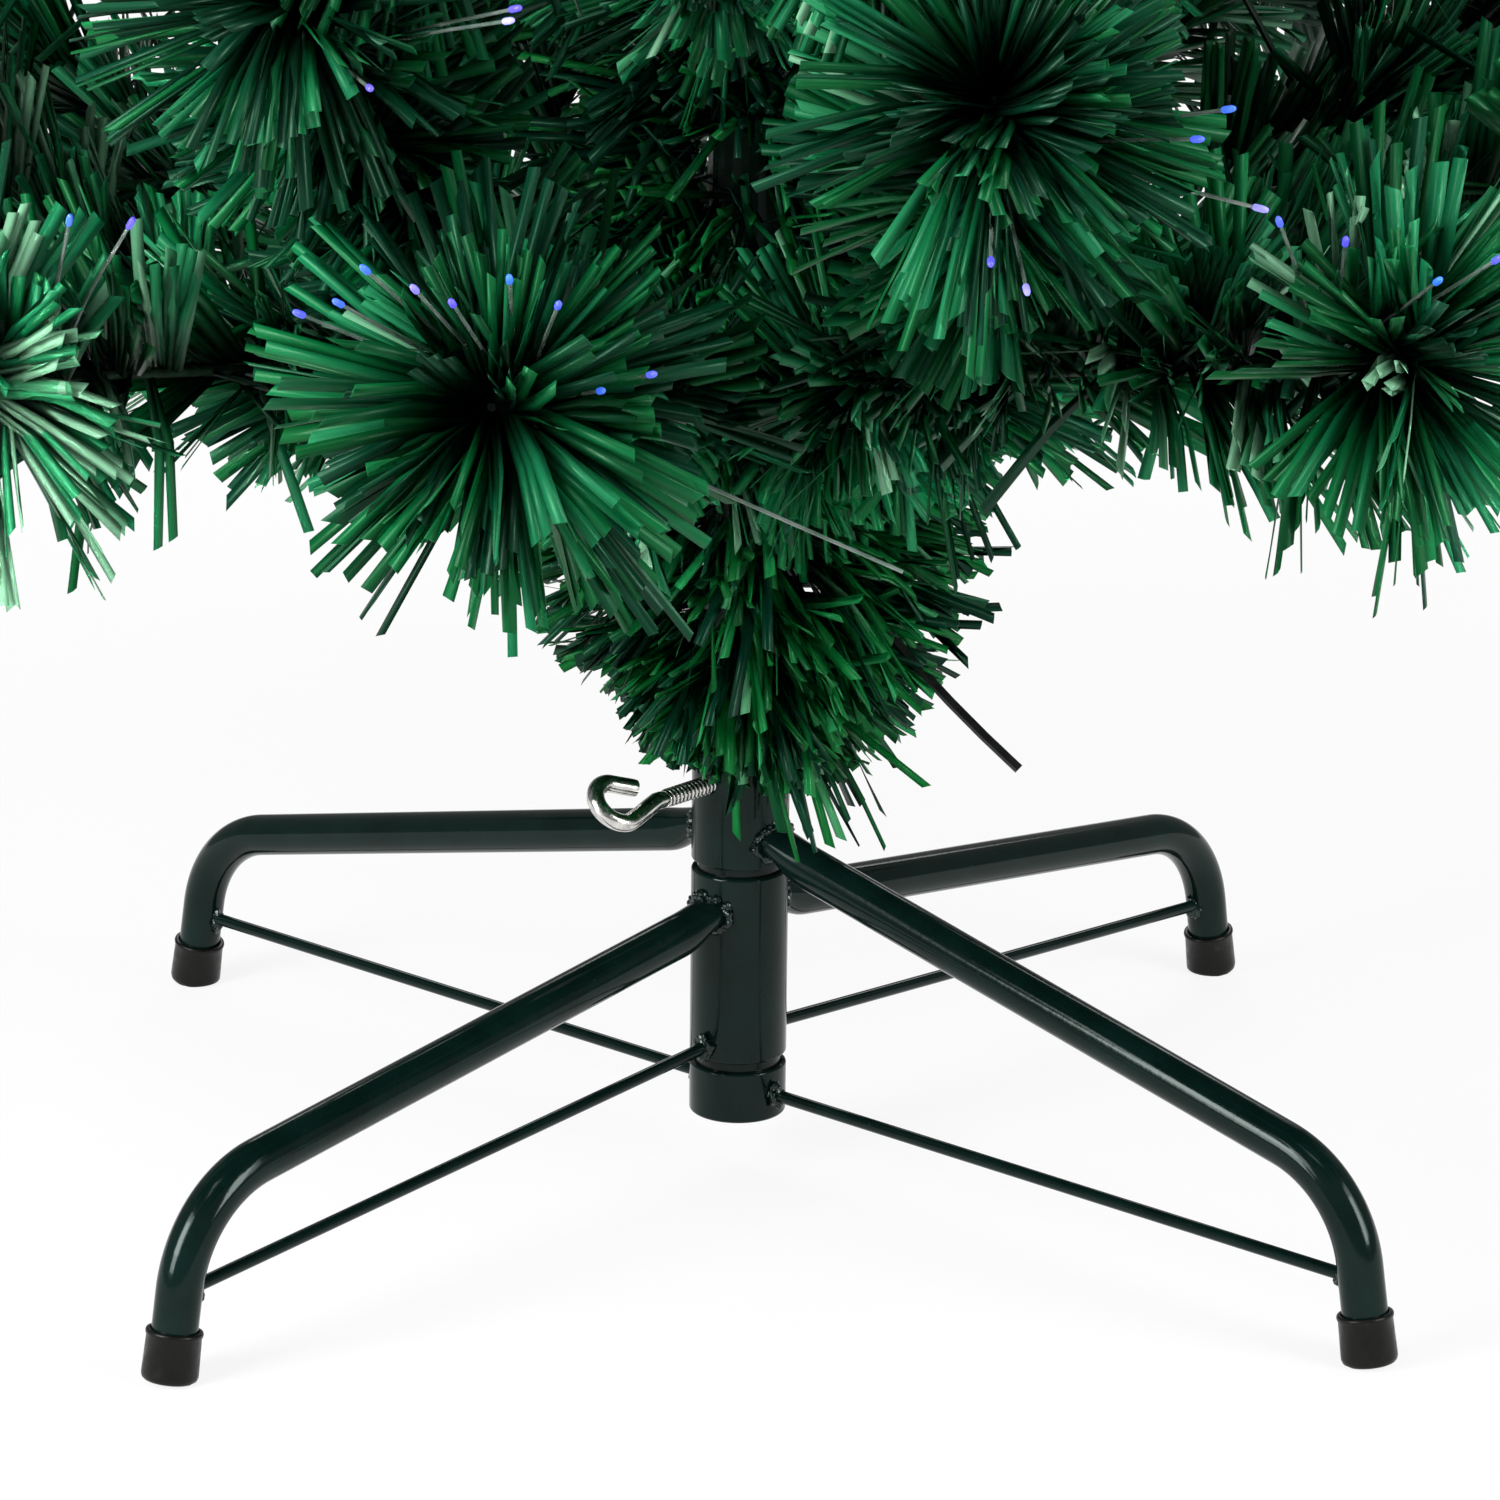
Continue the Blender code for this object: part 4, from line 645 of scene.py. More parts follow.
def add_combs(strips, roots, headings, rows, lengths, look):
    """Short fringes: each comb is a row of strips cut from one piece of film."""
    combs = len(roots)
    counts = RNG.integers(look["least"], look["most"], combs)
    which = np.repeat(np.arange(combs), counts)
    total = len(which)
    order = np.arange(total) - (np.cumsum(counts) - counts)[which] - (counts[which] - 1) / 2
    row = unit(rows[which])
    width = look["width"] * (1.0 + vary(WIDTH_SPREAD, combs))[which]
    heading = headings[which] + row * (order * RNG.uniform(*COMB_FAN, combs)[which])[:, None]
    heading = unit(heading + vary(look["stray"], (total, 3)))
    side = row + vary(look["roll"], (total, 3))
    side = unit(side - heading * np.sum(side * heading, axis=1, keepdims=True))
    length = lengths[which] * (1.0 + vary(LENGTH_SPREAD, total))
    length = length + order * vary(COMB_SLANT, combs)[which]
    root = roots[which] + row * (order * width * STRIP_PITCH_SHARE)[:, None]
    bend = vary(look["curl"], (combs, 3))[which]
    bend = bend + vary(look["curl"] * OWN_CURL_SHARE, (total, 3))
    bend[:, 2] -= np.abs(vary(look["droop"], total))
    tone = RNG.beta(*TONE_BETA, combs)[which] + vary(TONE_SPREAD, total)
    # Painted light: the painted sheen and painted shade that a brush gives shift each comb's tone
    tone = np.clip(tone + np.broadcast_to(look["painted_light"], combs)[which], 0.0, 1.0)
    length = np.minimum(length, room_left(root, heading, np.linalg.norm(bend, axis=1)))
    keep = lengths[which] > 0.0
    if look["edge"] is not None:
        for share in (*SHORTER_SHARES, 1.0):
            above = above_edge(look["edge"], root, heading * length[:, None], bend)
            cut = np.where(above, 1.0, share)
            length, bend = length * cut, bend * cut[:, None]
        keep &= above
    found = dict(root=root, heading=heading, side=side, length=length, width=width, bend=bend,
                 twist=vary(look["twist"], total),
                 shear=vary(CUT_SPREAD, total), tone=tone)
    strips.add(**{key: value[keep] for key, value in found.items()})


def room_left(roots, headings, bends):
    """How far each strip may run before it leaves the model's box."""
    limits = np.array([max(abs(low), abs(high)) + BOX_ROOM for low, high in zip(*CAD_BOX)][:2])
    ahead = np.maximum(np.abs(headings[:, :2]), 1e-6)
    room = (limits - bends[:, None] - roots[:, :2] * np.sign(headings[:, :2])) / ahead
    return np.maximum(room.min(axis=1), LEAST_ROOM)


def above_edge(heights, root, run, bend):
    """True for strips that end above an edge and leave the eye bolt's way free."""
    out = np.array(BOLT_WAY)
    free = np.ones(len(root), dtype=bool)
    ragged = RAGGED_DEPTH * np.sin(root @ np.array(RAGGED_WAVES))
    for share in CHECKED_SHARES:
        place = root + run * share + bend * share ** 2
        along = place @ out
        aside = np.abs(place[:, 0] * -out[1] + place[:, 1] * out[0])
        for start, room in ((0.0, SHANK_ROOM), (EYE_FROM, EYE_ROOM)):
            free &= ~((along > start) & (aside < room) & (place[:, 2] < BOLT_HEIGHT + room))
        edge = np.interp(place @ np.array(SKIRT_SIDE), SKIRT_SIDES, heights) + ragged
        free &= ~(place[:, 2] < edge + SKIRT_SLOPE * (place @ np.array(SKIRT_FRONT)))
    if heights is STRAND_HEIGHTS:
        free &= np.sin(root @ np.array(STRAND_WAVES)) < STRAND_LIMIT
    return free


# Branch layout, as in the solids

def polar(azimuth, reach, height):
    angle = math.radians(azimuth)
    return Vector((reach * math.cos(angle), reach * math.sin(angle), height))


def tier_tips(reach, rise, forked):
    if not forked:
        return ((0.0, 1.0, rise),)
    spread = math.degrees(math.atan(SPRIG_SPREAD / reach))
    high = (0.0, HIGH_TIP_REACH_SHARE, rise + HIGH_TIP_RISE_SHARE)
    return (high, (-spread, 1.0, rise), (spread, 1.0, rise))


def plan_branches():
    """Every branch: name, tier, azimuth, root height, reach and tips."""
    plans = []
    for tier, (count, height_share, reach_share, first, rise, forked) in enumerate(TIERS):
        height, reach = TREE_HEIGHT * height_share, BRANCH_REACH * reach_share
        for number in range(count):
            if tier == 0:
                azimuth, tips = LOWEST_BRANCHES[number % len(LOWEST_BRANCHES)]
                azimuth += 180.0 * (number // len(LOWEST_BRANCHES))
            else:
                azimuth = first + 360.0 * number / count
                tips = tier_tips(reach, rise, forked)
            ends = [polar(azimuth + turn, reach * out, height + reach * up)
                    for turn, out, up in tips]
            name = "branch_%d_%d" % (tier + 1, number + 1)
            plans.append((name, tier, azimuth, height, reach, ends))
    return plans


def smooth_path(points, steps):
    """Catmull-Rom curve through points."""
    held = [points[0] * 2 - points[1]] + list(points) + [points[-1] * 2 - points[-2]]
    curve = []
    for index in range(1, len(held) - 2):
        a, b, c, d = held[index - 1:index + 3]
        for step in range(steps):
            t = step / steps
            curve.append(((b * 2) + (c - a) * t + (a * 2 - b * 5 + c * 4 - d) * t * t
                          + (b * 3 - a - c * 3 + d) * t * t * t) / 2)
    return curve + [points[-1]]


def branch_stems(azimuth, height, reach, ends):
    """Centre lines of a branch's wire: the main run and its sprigs."""
    heel = polar(azimuth, 1.0, 0.0) * (POLE_R + GAP + FOOT_R) + UP * height
    if len(ends) == 1:
        return [smooth_path([heel, heel.lerp(ends[0], 0.5), ends[0]], 6)]
    low_rise = min(end.z for end in ends) - height
    fork = polar(azimuth, reach * FORK_SHARE, height + low_rise * FORK_RISE_SHARE)
    stems = [smooth_path([heel, fork, ends[0]], 8)]
    along = (ends[0] - heel).normalized()
    hint = UP.cross(polar(azimuth, 1.0, 0.0))
    across = (hint - along * hint.dot(along)).normalized()
    for side, end in zip((-1.0, 1.0), ends[1:]):
        leave = fork + across * (side * SPRIG_LEAVE_SIDE) + along * SPRIG_LEAVE_ALONG
        stems.append(smooth_path([fork, leave, end], 8))
    return stems


# Brushes of combs

def path_lengths(path):
    rows = np.array([tuple(point) for point in path])
    steps = np.linalg.norm(np.diff(rows, axis=0), axis=1)
    return rows, np.concatenate([[0.0], np.cumsum(steps)])


def points_at(rows, lengths, places):
    """Points of a path at lengths along it."""
    return np.stack([np.interp(places, lengths, rows[:, axis]) for axis in range(3)], axis=1)


def turned_rows(tangent, headings, spread):
    """Row directions of combs, each turned a little about its heading."""
    turn = vary(spread, len(headings))[:, None]
    return tangent * np.cos(turn) + np.cross(headings, tangent) * np.sin(turn)


def brush(strips, path, reach, density, look, painted_light=PLAIN, thinned=PLAIN):
    """Fringes all round a stem, leaning to its tip, and a fan at the tip."""
    rows, lengths = path_lengths(path)
    total = lengths[-1]
    along_count = int(total * density)
    count = along_count + FAN_COMBS
    in_fan = np.arange(count) >= along_count
    share = np.where(in_fan, 1.0, RNG.uniform(*BRUSH_RANGE, count) ** BRUSH_CROWDING)
    places = np.where(in_fan, total - RNG.uniform(0.0, FAN_DEPTH, count), share * total)
    roots = points_at(rows, lengths, places)
    near = np.minimum(places, total - SLOPE_STEP)
    along = unit(points_at(rows, lengths, near + SLOPE_STEP)
                 - points_at(rows, lengths, near - SLOPE_STEP))
    first = unit(np.cross(along, np.array([[0.13, 0.21, 0.97]])))
    angles = RNG.uniform(0.0, math.tau, count)[:, None]
    radial = first * np.cos(angles) + np.cross(along, first) * np.sin(angles)
    lean = np.interp(share, (0.0, 0.5, 1.0), look["leans"]) + vary(LEAN_SPREAD, count)
    fan_lean = FAN_LEAN * RNG.uniform(0.0, 1.0, count) ** FAN_LEAN_POWER
    lean = np.radians(np.where(in_fan, fan_lean, lean))
    headings = unit(radial * np.cos(lean)[:, None] + along * np.sin(lean)[:, None])
    comb_rows = turned_rows(np.cross(along, radial), headings, BRANCH_COMB_TURN)
    sizes = reach * np.interp(share, *SIZE_BY_SHARE) * RNG.uniform(*SIZE_SPREAD, count)
    below = np.clip(-headings[:, 2], 0.0, 1.0) * np.interp(share, BELOW_SHARES, (1.0, 0.0))
    sizes *= 1.0 - SHORTER_BELOW * below
    stay = RNG.uniform(0.0, 1.0, count) > FEWER_BELOW * below
    hanging = np.clip(-HANGING_GAIN * headings[:, 2], 0.0, 1.0)
    middle = np.interp(share, THINNED_SHARES, (0.0, 1.0, 1.0, 0.0))
    chance = (thinned[0] + thinned[1] * hanging) * middle
    sizes[THINNING.uniform(0.0, 1.0, count) < chance] = 0.0
    # Painted sheen: the listed stems' tone is raised by a given amount on their inner and outer
    # part (lowered on one stem), more on strips that stand across the stem
    tones = np.interp(share, PAINTED_LIGHT_SHARES, painted_light) * np.clip(PAINTED_LIGHT_GAIN * np.cos(lean), 0.0, 1.0)
    # Painted shade: strips that point along the stem, at the heart of a fan, are darkened
    tones -= HEART_PAINTED_SHADE * np.interp(np.sin(lean), HEART_SHADE_SINES, (0.0, 1.0))
    add_combs(strips, (roots + radial * WIRE_OFFSET)[stay], headings[stay], comb_rows[stay],
              sizes[stay], dict(look, painted_light=tones[stay]))


def add_heel(strips, path, reach, count, look):
    """Fringes that stand all ways round a stem's first stretch."""
    rows, lengths = path_lengths(path)
    roots = points_at(rows, lengths, RNG.uniform(0.0, HEEL_LENGTH, count))
    headings = unit(vary(1.0, (count, 3)) + unit(rows[1:2] - rows[:1]) * HEEL_LEAN)
    headings[:, 2] = np.maximum(headings[:, 2], HEEL_LOWEST)
    comb_rows = unit(np.cross(headings, vary(1.0, (count, 3))))
    add_combs(strips, roots, headings, comb_rows, reach * RNG.uniform(*HEEL_SIZES, count), look)


def add_strays(strips, path, reach, look):
    """Loose strips that stand off the brush in any direction but the stem's own."""
    rows, lengths = path_lengths(path)
    count = STRAYS_PER_STEM
    roots = points_at(rows, lengths, RNG.uniform(STRAY_FROM, 1.0, count) * lengths[-1])
    headings = unit(vary(1.0, (count, 3)))
    sizes = reach * STRAY_SIZE * (1.0 - STRAY_SHORTER_BELOW * np.clip(-headings[:, 2], 0.0, 1.0))
    sizes[headings @ unit(rows[-1:] - rows[-2:-1])[0] > STRAY_MOST_AHEAD] = 0.0
    comb_rows = vary(1.0, (count, 3))
    add_combs(strips, roots, headings, comb_rows, sizes, dict(look, **STRAY_LOOK))


def build_branch(plan, film, wire, body):
    """Wire stems and needles of one branch; they stand for its node."""
    name, tier, azimuth = plan[:3]
    reach = NEEDLE_REACHES[tier]
    strips, tubes = Strips(), Tubes()
    stems = branch_stems(*plan[2:])
    # Painted sheen and painted shade for each stem, and the combs thinned out of it
    painted_light, thinned = PAINTED_LIGHT_STEMS.get(name, (PLAIN,) * 3), THINNED_STEMS.get(name, (PLAIN,) * 3)
    for stem, tones, gaps in zip(stems, painted_light, thinned):
        brush(strips, stem, reach, COMBS_PER_METRE[tier], BRANCH_LOOK, tones, gaps)
        add_strays(strips, stem, reach, BRANCH_LOOK)
    add_heel(strips, stems[0], reach, HEEL_COMBS[tier], BRANCH_LOOK)
    for stem in stems:
        lengths = path_lengths(stem)[1]
        tubes.add(stem, list(np.interp(lengths, [0.0, lengths[-1]], STEM_RADII)), 8)
    heel = stems[0][0]
    foot = [heel - UP * FOOT_LENGTH, heel - UP * 0.002, heel + polar(azimuth, 1.0, 0.0) * 0.004]
    tubes.add(foot, FOOT_RADII, 8)
    run = (stems[0][1] - heel).normalized()
    sleeve = [heel + run * (SLEEVE_START + SLEEVE_LENGTH * share) for share in SLEEVE_SHARES]
    tubes.add(sleeve, SLEEVE_RADII, 14)
    needles = mesh_from(name + "_needles", *strips.arrays(2), film)
    stem_piece = tubes.build(name + "_stems", wire)
    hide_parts(name)
    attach(needles, body)
    stem_piece.parent = needles
    return stems


def build_top(film, wire):
    """The leader: a straight brush that stands in the upper pole."""
    strips, tubes = Strips(), Tubes()
    heights = (UPPER_POLE_TOP + 0.002, UPPER_POLE_TOP + 0.1, TREE_HEIGHT - 0.052)
    stem = smooth_path([UP * height for height in heights], 8)
    brush(strips, stem, TOP_REACH, TOP_COMBS_PER_METRE, TOP_LOOK)
    add_heel(strips, stem, TOP_REACH, TOP_HEEL_COMBS, TOP_LOOK)
    needles = mesh_from("tree_top_needles", *strips.arrays(2), film)
    tubes.add([UP * (UPPER_POLE_TOP - 0.03)] + stem + [UP * (TREE_HEIGHT - 0.0005)],
              [0.0105] + [0.0026] * len(stem) + [0.001], 12)
    stem_piece = tubes.build("tree_top_stem", wire)
    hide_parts("tree_top")
    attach(needles, "tree_upper")
    stem_piece.parent = needles
    return stem


# Tinsel

def tinsel_combs(strips, count, heights, leans, spread, lengths, look):
    """Fringes round the trunk, rooted between two heights."""
    height = RNG.uniform(heights[0], heights[-1], count)
    angle = RNG.uniform(0.0, math.tau, count)
    radial = np.stack([np.cos(angle), np.sin(angle), np.zeros(count)], axis=1)
    tangent = np.stack([-np.sin(angle), np.cos(angle), np.zeros(count)], axis=1)
    roots = radial * (HUB_R + TINSEL_ROOT_OFFSET)
    roots[:, 2] = height
    lean = np.radians(np.interp(height, heights, leans) + vary(spread, count))
    headings = radial * np.cos(lean)[:, None]
    headings = headings + tangent * vary(TINSEL_SWIRL, count)[:, None]
    headings[:, 2] += np.sin(lean)
    headings = unit(headings)
    rows = turned_rows(tangent, headings, TINSEL_COMB_TURN)
    sizes = np.interp(height, heights, lengths) * RNG.uniform(*TINSEL_SIZE_SPREAD, count)
    add_combs(strips, roots, headings, rows, sizes, look)


def front_strands(strips):
    """The single strands that hang in front of the hub."""
    axes = np.array([SKIRT_SIDE, SKIRT_FRONT, tuple(UP)])
    ends = np.array(FRONT_STRANDS)
    roots, tips = ends[:, 0:3] @ axes, ends[:, 3:6] @ axes
    length = np.linalg.norm(tips - roots, axis=1)
    count = len(ends)
    heading = (tips - roots) / length[:, None]
    flat = unit(axes[0] - heading * (heading @ axes[0])[:, None])
    strips.add(root=roots, heading=heading, side=flat, length=length, width=ends[:, 6],
               bend=vary(0.0012, (count, 3)), twist=vary(0.5, count),
               shear=vary(0.3, count), tone=ends[:, 7])


def build_tinsel(film):
    """Thatch of film strips wound round the foot of the trunk."""
    strips = Strips()
    for layer in TINSEL_LAYERS:
        tinsel_combs(strips, *layer)
    front_strands(strips)
    made = mesh_from("trunk_tinsel_strips", *strips.arrays(3), film)
    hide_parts("trunk_tinsel")
    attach(made, "tree_lower")


# Eye bolt

def thread_rings():
    """Rings of the helical thread, how high each vertex stands on it, and their number."""
    start = POLE_R + GAP
    steps = int((BOLT_THREAD_END - start) / THREAD_PITCH * STEPS_PER_THREAD)
    verts, tones = [], []
    for index in range(steps + 1):
        place = start + (BOLT_THREAD_END - start) * index / steps
        ends = min(1.0, (place - start) / THREAD_RUN_IN,
                   (BOLT_THREAD_END - place) / THREAD_RUN_OUT + 0.05)
        for corner, (x, y) in enumerate(circle(BOLT_SIDES)):
            phase = (place / THREAD_PITCH - corner / BOLT_SIDES) % 1.0
            crest = min(1.0, CREST_SHARPNESS * (0.5 - 0.5 * math.cos(math.tau * phase)))
            radius = THREAD_CREST_R - THREAD_DEPTH * (1.0 - crest * ends)
            verts.append((place, radius * x, radius * y))
            # The crest height, kept as tone, also sets the painted shade in the valleys
            tones.append(crest)
    return verts, tones, steps + 1


def build_bolt(mat):
    """Shank with a real helical thread, neck, open eye and cut end."""
    verts, tones, rings = thread_rings()
    across = Vector((0.0, -math.sin(EYE_TILT), math.cos(EYE_TILT)))
    out = Vector((1.0, 0.0, 0.0))
    centre = out * EYE_CENTRE_OUT + across * EYE_CENTRE_RISE
    arc = [centre + out * (EYE_R * math.cos(a)) + across * (EYE_R * math.sin(a))
           for a in np.linspace(EYE_START_ANGLE, EYE_END_ANGLE, 9)]
    heading = EYE_END_ANGLE + math.pi / 2 - EYE_ARM_TURN
    arm = out * math.cos(heading) + across * math.sin(heading)
    last = arc[-1] + arm * EYE_ARM
    path = smooth_path([out * (BOLT_THREAD_END + 0.0045)] + arc + [last], 6)
    points = [out * (BOLT_THREAD_END + 0.0004), out * (BOLT_THREAD_END + 0.0018)] + path
    points.append(last + arm * 0.00001)
    radii = [BOLT_R * 0.84] + [EYE_WIRE_R] * len(path)
    radii += [EYE_WIRE_R * 0.97, EYE_WIRE_R * 0.9]
    wire = tube_arrays(points, radii, BOLT_SIDES, across)[0]
    tones = np.concatenate([tones, np.ones(len(wire))])
    faces = ring_faces(rings + len(points), BOLT_SIDES)
    verts = np.concatenate([verts, wire])
    made = mesh_from("eye_bolt_threaded", verts, *faces, {"tone": tones}, mat)
    smooth(made, 60)
    turn = Matrix.Translation((0.0, 0.0, BOLT_HEIGHT)) @ Matrix.Rotation(BOLT_AZIMUTH, 4, "Z")
    made.data.transform(turn)
    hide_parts("eye_bolt")
    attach(made, "eye_bolt")


# Hub tubes

def spun_arrays(profile, sides, closed):
    """An outline of radius and height turned about Z."""
    verts = [(radius * x, radius * y, height)
             for radius, height in profile for x, y in circle(sides)]
    return np.array(verts), *ring_faces(len(profile), sides, closed)


def hub_profile(bottom, top, low_round, high_round, ledge):
    """Closed outline of an open tube as radius and height, with rounded outer edges."""
    inner = HUB_R - HUB_WALL
    profile = [(inner - LEDGE_REACH if ledge else inner, bottom)]
    for height, size, first in ((bottom + low_round, low_round, -math.pi / 2),
                                (top - high_round, high_round, 0.0)):
        for angle in np.linspace(first, first + math.pi / 2, 9):
            profile.append((HUB_R - size + size * math.cos(angle), height + size * math.sin(angle)))
    profile.append((inner, top))
    if ledge:
        ledge_top = bottom + LEDGE_THICKNESS
        profile += [(inner, ledge_top), (inner - LEDGE_REACH, ledge_top)]
    return profile


def bore(made):
    """Cut the bolt's hole through one side of a hub tube."""
    line = [UP * BOLT_HEIGHT, UP * BOLT_HEIGHT + BOLT_WAY * (HUB_R + 0.004)]
    arrays = tube_arrays(line, [BOLT_R + GAP] * 2, 48)
    cutter = mesh_from("bolt_bore", *arrays, {}, made.data.materials[0])
    hole = made.modifiers.new("hole", "BOOLEAN")
    hole.object, hole.operation, hole.solver = cutter, "DIFFERENCE", "EXACT"
    bored = made.evaluated_get(bpy.context.evaluated_depsgraph_get())
    made.data = bpy.data.meshes.new_from_object(bored)
    made.modifiers.clear()
    bpy.data.objects.remove(cutter)


def build_hub(paint):
    """The two collars and the middle tube."""
    for name, bottom, top, low_round, high_round, body in HUB_TUBES:
        profile = hub_profile(bottom, top, low_round, high_round, name == "lower_collar")
        made = mesh_from(name + "_tube", *spun_arrays(profile, HUB_SIDES, True), {}, paint)
        if name == "upper_collar":
            bore(made)
        smooth(made, 40)
        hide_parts(name)
        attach(made, body)


# Legs, braces, caps and welds

def leg_ways(slope):
    """Directions along a leg's straight run and square to it, upward."""
    return (Vector((math.cos(slope), 0.0, -math.sin(slope))),
            Vector((math.sin(slope), 0.0, math.cos(slope))))


def leg_tube(hub_height):
    """Points and oval sizes of a leg from the hub to its cap."""
    reach = FOOT_REACH - LEG_CORNER_HEIGHT * math.tan(LEG_FOOT_TILT)
    slope = math.atan2(hub_height - LEG_CORNER_HEIGHT, reach - HUB_R)
    outward, upward = leg_ways(slope)
    hub_point = Vector((HUB_R, 0.0, hub_height))
    points, sizes = [], []
    for share in np.linspace(0.0, 1.0, 9):
        squash = 1.0 - (1.0 - CRIMP_HEIGHT_SHARE) * (0.5 + 0.5 * math.cos(math.pi * share))
        place = hub_point + outward * (CRIMP_LENGTH * (share * 1.3 - 0.12))
        points.append(place + upward * (LEG_R * (1.0 - squash)))
        sizes.append((LEG_R, LEG_R * squash))
    turn = math.pi / 2 - slope - LEG_FOOT_TILT
    start = Vector((reach, 0.0, LEG_CORNER_HEIGHT)) - outward * (LEG_BEND_R * math.tan(turn / 2))
    centre = start - upward * LEG_BEND_R
    points += [centre + leg_ways(slope + turn * share)[1] * LEG_BEND_R
               for share in np.linspace(0.0, 1.0, 25)]
    end_z = CAP_FLOOR + GAP
    points.append(Vector((FOOT_REACH - end_z * math.sin(LEG_FOOT_TILT), 0.0, end_z)))
    sizes += [(LEG_R, LEG_R)] * (len(points) - len(sizes))
    return points, sizes


def lumps(places, rows):
    """Sum of smooth noises at places, each with its strength and scale."""
    return sum(strength * noise.noise(Vector(place) * scale)
               for place, (strength, scale) in zip(places, rows))


def weld_ring(hub_height, wide, high, lift):
    """A lumpy bead where a leg meets the hub."""
    rings, sides = 120, 18
    verts = []
    for x, y in circle(rings):
        aside = (wide + BEAD_R * 0.3) * x
        above = hub_height + lift + (high + BEAD_R * 0.3) * y
        centre = Vector((math.sqrt(HUB_R ** 2 - aside ** 2), aside, above))
        front = Vector((centre.x, centre.y, 0.0)).normalized()
        for turn_x, turn_y in circle(sides):
            offset = Vector((0.0, x, y)) * turn_x + front * turn_y
            size = BEAD_R * (0.92 + lumps((centre, centre + offset * BEAD_R), BEAD_LUMPS))
            verts.append(tuple(centre + offset * size))
    return np.array(verts), *ring_faces(rings, sides, True)


def weld_blob(centre, radii, rings=24, sides=30):
    """A lumpy drop of weld; the first of its radii lies along the rod."""
    verts = []
    for index in range(rings):
        tilt = math.pi * (index + 0.5) / rings
        for x, y in circle(sides):
            way = Vector((math.cos(tilt), math.sin(tilt) * x, math.sin(tilt) * y))
            size = 0.95 + lumps([centre + way * 0.003] * 2, BLOB_LUMPS)
            verts.append(tuple(centre + way * Vector(radii) * size))
    return np.array(verts), *ring_faces(rings, sides)


def cap_arrays():
    """A moulded cup, leaning with the foot and flat on the floor."""
    inner, low, high = LEG_R + GAP, CAP_R, CAP_TOP_R
    profile = [(0.0001, 0.0), (low - 0.0016, 0.0), (low - 0.0009, 0.0002), (low - 0.0003, 0.0008),
               (low, 0.0018), (low, 0.003), (high, CAP_HEIGHT - 0.002),
               (high + 0.0003, CAP_HEIGHT - 0.0015), (high + 0.0004, CAP_HEIGHT - 0.0008),
               (high + 0.0002, CAP_HEIGHT - 0.0002), (high - 0.0003, CAP_HEIGHT),
               (inner + 0.0001, CAP_HEIGHT - 0.0001), (inner, CAP_HEIGHT - 0.0006),
               (inner, CAP_FLOOR), (0.0001, CAP_FLOOR)]
    verts, quads, caps = spun_arrays(profile, CAP_SIDES, False)
    lean = Matrix.Translation((FOOT_REACH, 0.0, 0.0)) @ Matrix.Rotation(-LEG_FOOT_TILT, 4, "Y")
    verts = np.array([tuple(lean @ Vector(vert)) for vert in verts])
    verts[:, 2] = np.maximum(verts[:, 2], 0.0)
    return verts, quads[:, ::-1], caps[:, ::-1]


def leg_welds(hub_height, start, end):
    """Bead round the leg, a drop at either end of the brace, and spatter."""
    crimped = LEG_R * CRIMP_HEIGHT_SHARE
    lift = LEG_R - crimped
    welds = Tubes()
    welds.add_arrays(*weld_ring(hub_height, LEG_R, crimped, lift))
    for place, shift, shares in ((start, (0.0011, 0.0, 0.0), (0.75, 0.9, 1.2)),
                                 (end, (-0.0004, 0.0, -0.001), (0.7, 0.75, 1.1))):
        radii = [BLOB_R * share for share in shares]
        welds.add_arrays(*weld_blob(place + Vector(shift), radii))
    for share, size in RNG.uniform(0.0, 1.0, (SPATTER, 2)):
        angle = math.pi * (-0.15 + 1.3 * share)
        aside = (LEG_R + BEAD_R * 0.8) * math.cos(angle)
        above = hub_height + lift + (crimped + BEAD_R) * math.sin(angle)
        centre = Vector((math.sqrt(HUB_R ** 2 - aside ** 2) + 0.0004, aside, above))
        radius = SPATTER_R * (0.5 + 0.8 * size)
        welds.add_arrays(*weld_blob(centre, (radius, radius, radius), 9, 12))
    return welds


def build_leg(place, azimuth, body, looks):
    """A leg with its brace, weld beads and rubber cap."""
    hub_height, brace_hub, brace_foot = LEG_HEIGHTS[body]
    tube, rod = Tubes(), Tubes()
    tube.add(*leg_tube(hub_height), LEG_SIDES, across=Vector((0.0, 1.0, 0.0)))
    start = Vector((HUB_R - 0.0004, 0.0, brace_hub))
    foot_reach = FOOT_REACH - brace_foot * math.tan(LEG_FOOT_TILT)
    end = Vector((foot_reach - LEG_R * 0.9, 0.0, brace_foot))
    run = [start.lerp(end, share) for share in np.linspace(0.0, 1.0, 9)]
    rod.add(run, [BRACE_R] * len(run), BRACE_SIDES)
    made = [tube.build("leg_" + place + "_tube", looks["stand_paint"]),
            rod.build("brace_" + place + "_tube", looks["stand_paint"]),
            leg_welds(hub_height, start, end).build(place + "_welds", looks["weld"])]
    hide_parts("leg_" + place)
    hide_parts("brace_" + place)
    cap = mesh_from("foot_cap_" + place + "_cup", *cap_arrays(), {}, looks["rubber"])
    smooth(cap, 50)
    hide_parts("foot_cap_" + place)
    for piece, slot in zip(made + [cap], ("stand_paint", "stand_paint", "stand_paint", "rubber")):
        piece.data.transform(Matrix.Rotation(math.radians(azimuth), 4, "Z"))
        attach(piece, body)


# Fibres that stand out of the needles, and their lit ends

